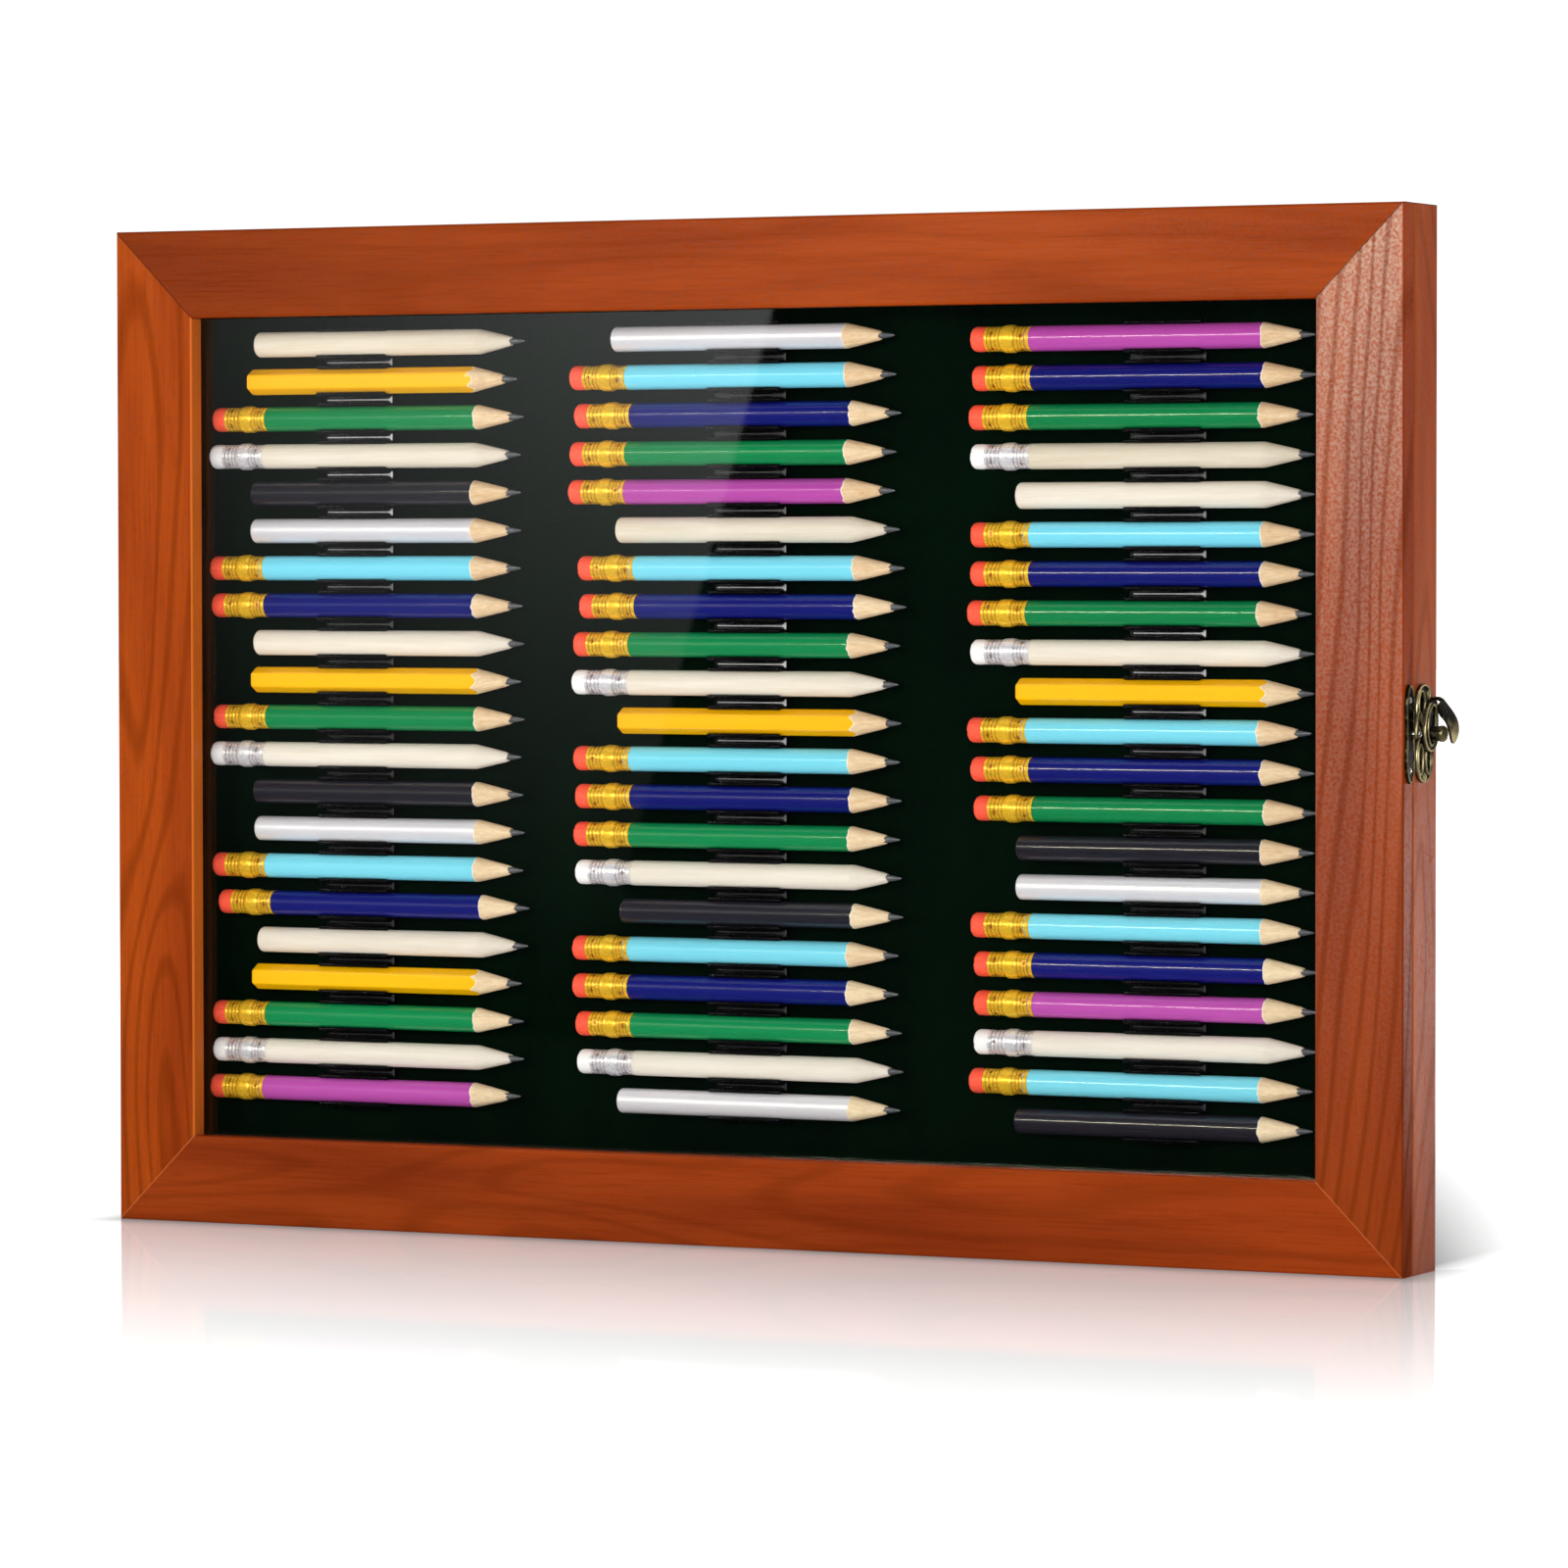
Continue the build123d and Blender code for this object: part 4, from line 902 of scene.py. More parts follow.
# Sub-assemblies
@dataclass
class WoodFrame:
    """The eight mitred members of the box and the door, each cut from its own board."""

    workshop: Workshop
    # The left stile's inner reveal carries a painted light.
    stile_left: StainedWood = StainedWood(
        "cherry_stile_left", Grain.ALONG_Z, (123, 42, 6), (160, 68, 12), 1.7, 0.75, gloss=0.05,
        lit_reveal_from=-178.0)
    stile_right: StainedWood = StainedWood(
        "cherry_stile_right", Grain.ALONG_Z, (126, 43, 6), (162, 66, 12), 5.1, 0.75, gloss=1.0,
        roughness=0.3, grit=1.4, line_width=0.7, figure=52.0, straight=1250.0, dull_low=0.1,
        darker_from=10.0, darker_to=200.0, darker_by=0.3)
    rail_top: StainedWood = StainedWood(
        "cherry_rail_top", Grain.ALONG_X, (120, 41, 4), (154, 62, 12), 9.3, 0.25, gloss=0.06,
        darker_from=-205.0, darker_to=-20.0, darker_by=0.45)
    rail_bottom: StainedWood = StainedWood(
        "cherry_rail_bottom", Grain.ALONG_X, (124, 42, 6), (162, 64, 16), 13.9, 0.5, gloss=0.07,
        darker_from=-100.0, darker_to=160.0, darker_by=0.3)
    box_side: StainedWood = StainedWood(
        "cherry_box_side", Grain.ALONG_Z, (146, 60, 22), (180, 88, 40), 3.3, 0.5, gloss=0.15,
        roughness=0.42)
    box_rail: StainedWood = StainedWood(
        "cherry_box_rail", Grain.ALONG_X, (124, 46, 14), (158, 68, 26), 7.7, 0.5, gloss=0.2,
        roughness=0.4)

    def build(self) -> None:
        """Dresses the door's members and the box's."""
        self.workshop.dress(self.stile_left, "door_stile_left")
        self.workshop.dress(self.stile_right, "door_stile_right")
        self.workshop.dress(self.rail_top, "door_rail_top")
        self.workshop.dress(self.rail_bottom, "door_rail_bottom")
        self.workshop.dress(self.box_side, "case_rail_left", "case_rail_right")
        self.workshop.dress(self.box_rail, "case_rail_top", "case_rail_bottom")


@dataclass
class CaseBack:
    """The back panel, the board and the felt stretched over it."""

    workshop: Workshop
    half_width: float = 191.0
    bottom: float = 12.2
    top: float = 279.9
    front: float = 5.5
    back: float = 6.5
    unevenness: float = 0.05
    across: int = 150
    up: int = 105

    def felt(self) -> Surface:
        """A thin slab: its front stands on a grid, sunk by two crossed waves, and its back is flat.

        Each row of the grid is a ring that runs along the front and back again along the back, so
        the rows join into one closed skin.

        Returns:
            The closed slab.
        """
        x = np.linspace(-self.half_width, self.half_width, self.across)
        z = np.linspace(self.bottom, self.top, self.up)
        wave = np.sin(x[None, :] / 23.0 + 1.1) * np.sin(z[:, None] / 19.0) * 0.5 + 0.5
        front = np.stack([np.broadcast_to(x, wave.shape), self.front + self.unevenness * wave,
                          np.broadcast_to(z[:, None], wave.shape)], -1)
        back = front[:, ::-1].copy()
        back[..., 1] = self.back
        return skin(np.concatenate([front, back], 1))

    def build(self) -> None:
        """Makes the felt and dresses what is behind it."""
        felt = self.workshop.piece("stretched_felt", self.felt(), [Felt()], "case",
                                   "dark_green_felt", ["felt_lining"])
        self.workshop.dress(Hardboard(), "back_panel", "mounting_board")


@dataclass
class ClipRacks:
    """The three strips of snap clips, one cradle for each pencil."""

    workshop: Workshop
    centres: dict[str, float] = field(
        default_factory=lambda: {"left": -130.3, "middle": -2.2, "right": 127.2})
    # The row where the painted highlight on each column's ribs is palest, and how many rows it
    # spreads over.
    palest_row: dict[str, float] = field(
        default_factory=lambda: {"left": 3.5, "middle": 9.0, "right": 8.0})
    highlight_spread: float = 3.0
    rib_sunk: float = 0.28
    half_length: float = 11.5
    rows: int = 21
    axis_y: float = 0.7
    inner: float = 3.85
    outer: float = 4.8
    lip_y: float = -0.6
    lip_z: float = 4.08
    lower_lip_y: float = -1.15
    lower_lip_z: float = 3.86
    lip_radius: float = 0.6
    web_front: float = 3.4
    felt_front: float = 5.5
    chamfer: float = 0.14

    def half_cradle(self, lip_y: float, lip_z: float) -> np.ndarray:
        """Side view of the upper half of one cradle, from the web to the floor.

        The outer wall and the floor are arcs about the pencil's axis, and the lip is a round bead.

        Args:
            lip_y: the lip's place in depth.
            lip_z: the lip's height over the axis.

        Returns:
            Rows of y and height.
        """
        wall = np.radians(np.linspace(124.2, 76.0, 7))
        outer = np.stack([self.axis_y - self.outer * np.cos(wall), self.outer * np.sin(wall)], -1)
        bead = np.radians(np.linspace(8.0, 236.0, 13))
        lip = np.stack([lip_y - self.lip_radius * np.sin(bead),
                        lip_z + self.lip_radius * np.cos(bead)], -1)
        floor = np.radians(np.linspace(82.0, 180.0, 11))
        inner = np.stack([self.axis_y - self.inner * np.cos(floor), self.inner * np.sin(floor)], -1)
        return np.concatenate([outer, lip, inner])

    def profile(self) -> np.ndarray:
        """Side view of a whole strip, round once: down the cradles in front and up the flat back.

        The lower lip of each cradle reaches further round its pencil than the upper one.

        Returns:
            Rows of y and z.
        """
        upper = self.half_cradle(self.lip_y, self.lip_z)
        lower = self.half_cradle(self.lower_lip_y, self.lower_lip_z)
        cradle = np.concatenate([upper, lower[-2::-1] * (1, -1)])
        rows = TOP_ROW - PITCH * np.arange(self.rows)
        front = cradle[None] + np.stack([np.zeros(self.rows), rows], -1)[:, None]
        top, bottom = rows[0] + self.outer, rows[-1] - self.outer
        return np.concatenate([
            [(self.web_front, top)], front.reshape(-1, 2), [(self.web_front, bottom)],
            [(self.felt_front, bottom), (self.felt_front, top)]])

    def strip(self, centre: float) -> Surface:
        """The profile carried along X, drawn in by a small chamfer at both ends.

        Args:
            centre: X of the strip's middle.

        Returns:
            The closed strip.
        """
        profile = self.profile()
        along = np.roll(profile, -1, 0) - np.roll(profile, 1, 0)
        normal = np.stack([along[:, 1], -along[:, 0]], -1)
        normal /= np.linalg.norm(normal, axis=1)[:, None]
        drawn_in = profile + self.chamfer * normal * self.inward_sign(profile)
        reach = self.half_length
        stations = [(-reach, drawn_in), (self.chamfer - reach, profile),
                    (reach - self.chamfer, profile), (reach, drawn_in)]
        rings = np.stack([np.column_stack([np.full(len(ring), centre + x), ring])
                          for x, ring in stations])
        fan = np.array(tessellate_polygon([[Vector((0, *point)) for point in drawn_in]]))
        return skin(rings, caps=(fan, fan))

    @staticmethod
    def inward_sign(profile: np.ndarray) -> float:
        """Which way the right-hand normals of a closed path point.

        Args:
            profile: the path, as y and z.

        Returns:
            1 where they point inwards, and otherwise -1.
        """
        following = np.roll(profile, -1, 0)
        area = (profile[:, 0] * following[:, 1] - profile[:, 1] * following[:, 0]).sum()
        return -1.0 if area > 0 else 1.0

    def rib(self, centre: float, height: float, rubbed: float) -> Surface:
        """The rib on the web between two cradles, with a flared end.

        Its section is an ellipse, half sunk in the web, whose half height grows over the last part.

        Args:
            centre: X of the strip's middle.
            height: the rib's height.
            rubbed: how pale its painted highlight is, 0 to 1.

        Returns:
            The closed rib.
        """
        x = np.array([-10.4, -10.3, -10.0, 4.0, 9.6, 10.4, 11.1, 11.4, 11.45])
        half = np.array([0.05, 0.16, 0.22, 0.22, 0.25, 0.38, 1.0, 1.0, 0.6])
        places = 14
        angle = np.arange(places) * FULL_TURN / places
        rings = np.stack([
            np.broadcast_to((centre + x)[:, None], (len(x), places)),
            self.web_front - self.rib_sunk * np.cos(angle) * np.ones((len(x), 1)),
            height + half[:, None] * np.sin(angle)], -1)
        return skin(rings, 1, rubbed)

    def build(self) -> None:
        """Makes the three strips. How pale a rib's painted highlight is falls as a bell curve of
        its row.
        """
        gaps = TOP_ROW + PITCH / 2 - PITCH * np.arange(1, self.rows)
        finishes = [MouldedPlastic("black_clip_moulding", (8, 7, 10), 0.2, 0.08), PaintedHighlightRib()]
        for side, centre in self.centres.items():
            # A painted highlight: how pale each rib is painted follows a bell curve of its row.
            away = (np.arange(1, self.rows) - self.palest_row[side]) / self.highlight_spread
            rubbed = 0.06 + 0.9 * np.exp(-away * away)
            parts = [self.strip(centre)]
            parts += [self.rib(centre, height, share) for height, share in zip(gaps, rubbed)]
            strip = Surface.joined(parts).moved((0, 0, COLUMN_SHIFTS[side]))
            self.workshop.piece(f"clip_strip_{side}", strip, finishes, "case",
                                "black_clip_plastic", [f"rack_{side}"], 50.0)


class Section(Enum):
    """Cross-sections of pencils."""

    ROUND = "round"
    HEXAGONAL = "hexagonal"


@dataclass(frozen=True)
class PencilKind:
    """What one kind of pencil is made up of."""

    node: str
    paint: Finish
    slot: str
    cone: Finish
    rim: Finish
    radius: float = 3.6
    section: Section = Section.ROUND
    ferrule: str = ""


CEDAR = BareWood("cut_cedar", (245, 224, 190), (200, 150, 102), 0.8)
NATURAL = BareWood("natural_basswood", (234, 225, 216), (198, 182, 158), 0.4, 0.7)
PRIMER = BareWood("cut_paint_primer", (240, 232, 220), (214, 200, 182), 0.4)

KINDS: dict[str, PencilKind] = {
    "N": PencilKind("pencils_natural", NATURAL, "natural_wood", NATURAL, NATURAL, 3.7),
    "Y": PencilKind("pencils_yellow_hex", Lacquer("yellow_paint", (255, 192, 0), (250, 158, 0)),
                    "yellow_lacquer", CEDAR, PRIMER, 3.8, Section.HEXAGONAL),
    "K": PencilKind("pencils_black", Lacquer("black_paint", (36, 34, 44), (24, 22, 30)),
                    "black_lacquer", CEDAR, PRIMER),
    "S": PencilKind("pencils_silver",
                    Lacquer("silver_paint", (240, 237, 246), (208, 205, 216), 0.3, 0.36),
                    "silver_lacquer", CEDAR, PRIMER),
    "G": PencilKind("pencils_green", Lacquer("green_paint", (12, 138, 80), (5, 98, 48)),
                    "green_lacquer", CEDAR, PRIMER, ferrule="brass"),
    "W": PencilKind("pencils_natural_ferruled", NATURAL, "natural_wood", NATURAL, NATURAL,
                    ferrule="silver"),
    "B": PencilKind("pencils_light_blue",
                    Lacquer("light_blue_paint", (124, 216, 238), (104, 198, 230)),
                    "light_blue_lacquer", CEDAR, PRIMER, ferrule="brass"),
    "V": PencilKind("pencils_navy", Lacquer("navy_paint", (14, 20, 114), (8, 12, 92)),
                    "navy_lacquer", CEDAR, PRIMER, ferrule="brass"),
    "P": PencilKind("pencils_purple", Lacquer("purple_paint", (188, 80, 176), (158, 50, 146)),
                    "purple_lacquer", CEDAR, PRIMER, ferrule="brass"),
}


@dataclass
class Pencils:
    """Every pencil in the case: barrels by finish, cores, ferrules and erasers."""

    workshop: Workshop
    columns: dict[str, str] = field(default_factory=lambda: {
        "left": "NYGWKSBVNYGWKSBVNYGWP",
        "middle": "SBVGPNBVGWYBVGWKBVGWS",
        "right": "PVGWNBVGWYBVGKSBVPWBK"})
    points: dict[str, float] = field(
        default_factory=lambda: {"left": -74.5, "middle": 46.2, "right": 172.1})
    # Each column's tone at its top and at its foot: partly a batch's colour and partly painted
    # light, which makes the lower pencils paler.
    tones: dict[str, tuple[float, float]] = field(default_factory=lambda: {
        "left": (0.85, -0.3), "middle": (0.62, -0.3), "right": (0.7, -0.3)})
    pushed: dict[str, tuple[float, ...]] = field(default_factory=lambda: {
        "left": (1, -1.5, 0.5, -0.5, -0.5, -0.5, -0.5, 0, 0.5, -0.5, 0.5, -0.5, 0, 0.5, 0, 2, 1.5,
                 -0.5, 0, 0, -1),
        "middle": (-1.5, -1, 0.5, -1, -1.5, 0, 1.5, 2, 0, -0.5, 0.5, 0, 0.5, 0, 0.5, 1, -0.5, -0.5,
                   0.5, 1, 0),
        "right": (0, 0.5, -0.5, 0, 0, 0, 0, -1, 0, 0, -1, 0, 1, 0, 0, 0, 1, 1, 1, -0.5, -0.5)})
    seat: float = 4.5
    short_body: float = 74.1
    ferruled_body: float = 70.0
    cone_length: float = 10.8
    lead_length: float = 4.0
    cone_tip: float = 1.25
    wood_end: float = 0.35
    rim_width: float = 0.3
    lead_radius: float = 0.98
    lead_point: float = 0.22
    apothem: float = 3.4
    butt_round: float = 0.9
    ferrule_length: float = 13.6
    ferrule_radius: float = 3.52
    grooves: tuple[float, ...] = (0.07, 0.155, 0.245, 0.33, 0.665, 0.745, 0.82, 0.90)
    groove_depth: float = 0.20
    groove_width: float = 0.26
    band_place: float = 0.505
    band_half: float = 1.8
    band_rise: float = 0.40
    knurls: int = 23
    knurl_depth: float = 0.03
    flare: float = 0.08
    flare_width: float = 0.5
    punch_places: tuple[float, float] = (2.0, 11.2)
    punch_depth: float = 0.3
    punch_width: float = 0.6
    eraser_length: float = 4.6
    eraser_radius: float = 3.52
    places: int = 48

    def stock(self) -> Iterator[tuple[str, tuple[float, float, float], int, float]]:
        """Takes the pencils out of their columns, one by one.

        Each column starts at its own tone, partly a batch's colour and partly painted light, and
        the tone falls to the column's last by the square of the way down: a painted light that
        makes the lower pencils paler.

        Returns:
            Letter, place of the point, number and batch-and-light tone of every pencil.
        """
        number = 0
        for column, letters in self.columns.items():
            first, last = self.tones[column]
            for row, letter in enumerate(letters):
                x = self.points[column] + self.pushed[column][row]
                y = self.seat - KINDS[letter].radius
                z = TOP_ROW + COLUMN_SHIFTS[column] - PITCH * row
                down = row / (len(letters) - 1)
                yield letter, (x, y, z), number, first + (last - first) * down * down
                number += 1

    def section_radius(self, kind: PencilKind, angle: np.ndarray) -> np.ndarray:
        """Distance of the barrel's skin from its axis.

        A round barrel has its radius. A hexagonal one has its apothem over the cosine of the angle
        from the middle of the flat, with the corners drawn in smoothly to the radius.

        Args:
            kind: the pencil's kind.
            angle: angles about the axis.

        Returns:
            The distance at each angle.
        """
        if kind.section is Section.ROUND:
            return np.full(len(angle), kind.radius)
        flat = self.apothem / np.cos(np.mod(angle, np.pi / 3) - np.pi / 6)
        sharpness = 14.0
        return -np.log(np.exp(-sharpness * flat) + np.exp(-sharpness * kind.radius)) / sharpness

    def ragged(self, angle: np.ndarray, rng: np.random.Generator, size: float) -> np.ndarray:
        """An uneven edge round the pencil: a few cosines of the angle, the quicker ones smaller.

        Args:
            angle: angles about the axis.
            rng: the pencil's own chance.
            size: the largest swing to either side.

        Returns:
            The edge's shift at each angle.
        """
        turns = np.arange(2, 13)
        phase = rng.uniform(0, FULL_TURN, len(turns))
        swing = rng.uniform(0.4, 1.0, len(turns)) / np.sqrt(turns)
        waves = (swing[:, None] * np.cos(turns[:, None] * angle + phase[:, None])).sum(0)
        return size * waves / np.abs(waves).max()

    def barrel(self, kind: PencilKind, rng: np.random.Generator, batch_and_light_tone: float) -> Surface:
        """One pencil without its core, with its point at X = 0.

        Rings of the section's radius run to a ragged paint edge, where the cone's radius, which
        falls evenly to the tip, becomes the smaller. Behind the edge lies paint, then a narrow rim
        of cut primer, and in front of it bare wood. Its tone is its batch-and-light tone, with some
        chance.

        Args:
            kind: the pencil's kind.
            rng: the pencil's own chance.
            batch_and_light_tone: the tone of its batch, with the painted light of its row.

        Returns:
            The closed barrel, with its paint, cut wood and primer as finishes 0, 1 and 2.
        """
        angle = np.arange(self.places) * FULL_TURN / self.places
        section = self.section_radius(kind, angle)
        body = self.ferruled_body if kind.ferrule else self.short_body
        cone_start = -self.lead_length - self.cone_length
        slope = (kind.radius - self.cone_tip) / self.cone_length
        if kind.ferrule:
            back_x = cone_start - body + np.array([-2.0, -1.9, -0.1, 0.15])
            back_r = np.array([-0.4, -0.3, -0.12, 0.0])
        else:
            back_x, back_r = rounded_end(cone_start - body, 0.0, self.butt_round, 13)
        edge = -self.lead_length - (section - self.cone_tip) / slope
        edge = edge + self.ragged(angle, rng, 0.3)
        tip = -self.lead_length - self.wood_end + self.ragged(angle, rng, 0.5)
        wood = np.array([0.04, 0.15, 0.4, 0.7, 0.93])
        facets = 1 + 0.012 * self.ragged(angle, rng, 1.0)

        def cone(x: np.ndarray) -> np.ndarray:
            """Radius of the sharpened cone at x."""
            belly = 0.03 * np.sin(np.clip((-self.lead_length - x) / self.cone_length, 0, 1) * np.pi)
            return (self.cone_tip + slope * (-self.lead_length - x) + belly) * facets

        ones = np.ones(self.places)
        x = [*(back * ones for back in back_x), cone_start - 2.0 * ones, edge - self.rim_width,
             edge]
        radius = [*(section + r for r in back_r), section, section, np.minimum(section, cone(edge))]
        for share in wood:
            there = edge * (1 - share) + tip * share
            x.append(there)
            radius.append(np.minimum(section, cone(there)))
        x += [tip, tip - 0.25, tip - 1.2]
        radius += [cone(tip) - 0.1, 0.8 * ones, 0.6 * ones]
        bands = np.array([0] * (len(back_x) + 1) + [2] + [1] * (len(x) - len(back_x) - 3))
        tone = 0.6 * batch_and_light_tone + 0.4 * rng.uniform()
        return skin(turned(np.array(x), np.array(radius), self.places), bands, tone)

    def core(self, rng: np.random.Generator) -> Surface:
        """The graphite point: a cone that starts inside the wood and ends in a small dome.

        Args:
            rng: the pencil's own chance.

        Returns:
            The closed point.
        """
        x = np.array([-6.4, -4.8, -3.2, -1.6, -0.5, -0.16, -0.02])
        reach = np.clip(-x / self.lead_length, 0, 1) ** 0.85
        radius = self.lead_point + (self.lead_radius - self.lead_point) * reach
        radius[-2:] = self.lead_point * np.array([0.85, 0.4])
        return skin(turned(x, radius, 20), 0, rng.uniform())

    def ferrule(self, rng: np.random.Generator) -> Surface:
        """A thin crimped tube: its radius by length and angle.

        Bell curves sink four narrow grooves at each end, a flat-topped bump raises the wide band,
        fine waves round the band knurl it, and bell-shaped dimples sink four punch marks at each
        end. The tone falls with the depth sunk: dirt and a painted dark reflection in the grooves
        and dimples.

        Args:
            rng: the pencil's own chance.

        Returns:
            The closed tube.
        """
        places, length = 46, self.ferrule_length
        start = -self.lead_length - self.cone_length - self.ferruled_body - length
        along = np.linspace(0, length, 50)
        angle = np.arange(places) * FULL_TURN / places
        sunk = np.zeros((len(along), places))
        radius = np.full((len(along), places), self.ferrule_radius)
        away = (along[:, None] - np.array(self.grooves) * length) / self.groove_width
        sunk += self.groove_depth * np.exp(-away ** 2).sum(1)[:, None]
        band = 1 / (1 + ((along - length * self.band_place) / self.band_half) ** 6)
        radius += self.band_rise * band[:, None]
        radius += self.knurl_depth * band[:, None] * np.cos(self.knurls * angle)
        radius += self.flare * np.exp(-((along - length) / self.flare_width) ** 2)[:, None]
        turn = rng.uniform(0, FULL_TURN)
        for place in self.punch_places:
            for quarter in range(4):
                away = np.angle(np.exp(1j * (angle - turn - quarter * FULL_TURN / 4 - place)))
                apart = np.hypot((along - place)[:, None], (away * self.ferrule_radius)[None, :])
                sunk += self.punch_depth * np.exp(-(apart / self.punch_width) ** 2)
        radius -= sunk
        tone = np.clip(1 - sunk / self.punch_depth, 0, 1)
        x = np.concatenate([[0.3], along, [length - 0.2]])
        radius = np.vstack([radius[0] - 0.15, radius, radius[-1] - 0.25])
        tone = np.vstack([tone[0], tone, tone[-1]])
        return skin(turned(start + x, radius, places), 0, tone)

    def eraser(self, rng: np.random.Generator) -> Surface:
        """A plug that swells a little out of the ferrule and is rounded at its end by use.

        Args:
            rng: the pencil's own chance.

        Returns:
            The closed plug.
        """
        start = -self.lead_length - self.cone_length - self.ferruled_body - self.ferrule_length
        end = start - self.eraser_length
        round_x, round_r = rounded_end(end, self.eraser_radius, 1.35, 8)
        x = np.concatenate([round_x, [start - 1.6, start - 0.3, start + 0.5, start + 1.0]])
        swell = np.array([0.02, -0.12, -0.25, -0.4])
        radius = np.concatenate([round_r, swell + self.eraser_radius])
        places = 40
        angle = np.arange(places) * FULL_TURN / places
        worn = 0.16 * self.ragged(angle, rng, 1.0) * np.clip((start - 2.2 - x) / 2.0, 0, 1)[:, None]
        rings = turned(x[:, None] - np.minimum(worn, 0), radius[:, None] * np.ones(places), places)
        return skin(rings, 0, rng.uniform())

    def build(self) -> None:
        """Makes the barrels of each finish, then the cores, ferrules and erasers."""
        barrels: dict[str, list[Surface]] = {letter: [] for letter in KINDS}
        cores: list[Surface] = []
        ferrules: dict[str, list[Surface]] = {"brass": [], "silver": []}
        erasers: dict[str, list[Surface]] = {"brass": [], "silver": []}
        for letter, place, number, batch_and_light_tone in self.stock():
            rng = np.random.default_rng(400 + number)
            kind = KINDS[letter]
            barrels[letter].append(self.barrel(kind, rng, batch_and_light_tone).moved(place))
            cores.append(self.core(rng).moved(place))
            if kind.ferrule:
                ferrules[kind.ferrule].append(self.ferrule(rng).moved(place))
                erasers[kind.ferrule].append(self.eraser(rng).moved(place))
        for letter, kind in KINDS.items():
            name = kind.node.replace("pencils", "barrels")
            self.workshop.piece(name, Surface.joined(barrels[letter]),
                                [kind.paint, kind.cone, kind.rim], "case", kind.slot, [kind.node],
                                9.0)
        self.workshop.piece("graphite_points", Surface.joined(cores), [Graphite()], "case",
                            "graphite", ["pencil_leads"])
        brass = CrimpedFoil("brass_ferrule_metal", (255, 202, 50), (148, 66, 6))
        silver = CrimpedFoil("silver_ferrule_metal", (240, 238, 248), (132, 110, 108))
        red = Rubber("coral_rubber", (250, 84, 58), (252, 124, 98))
        white = Rubber("white_rubber", (246, 244, 246), (226, 224, 228))
        for name, metal, rubber, colour in (("brass", brass, red, "red"),
                                            ("silver", silver, white, "white")):
            self.workshop.piece(f"crimped_{name}", Surface.joined(ferrules[name]), [metal], "case",
                                f"{name}_ferrule", [f"ferrules_{name}"], 60.0)
            self.workshop.piece(f"rubbers_{colour}", Surface.joined(erasers[name]), [rubber],
                                "case", f"{colour}_eraser", [f"erasers_{colour}"])


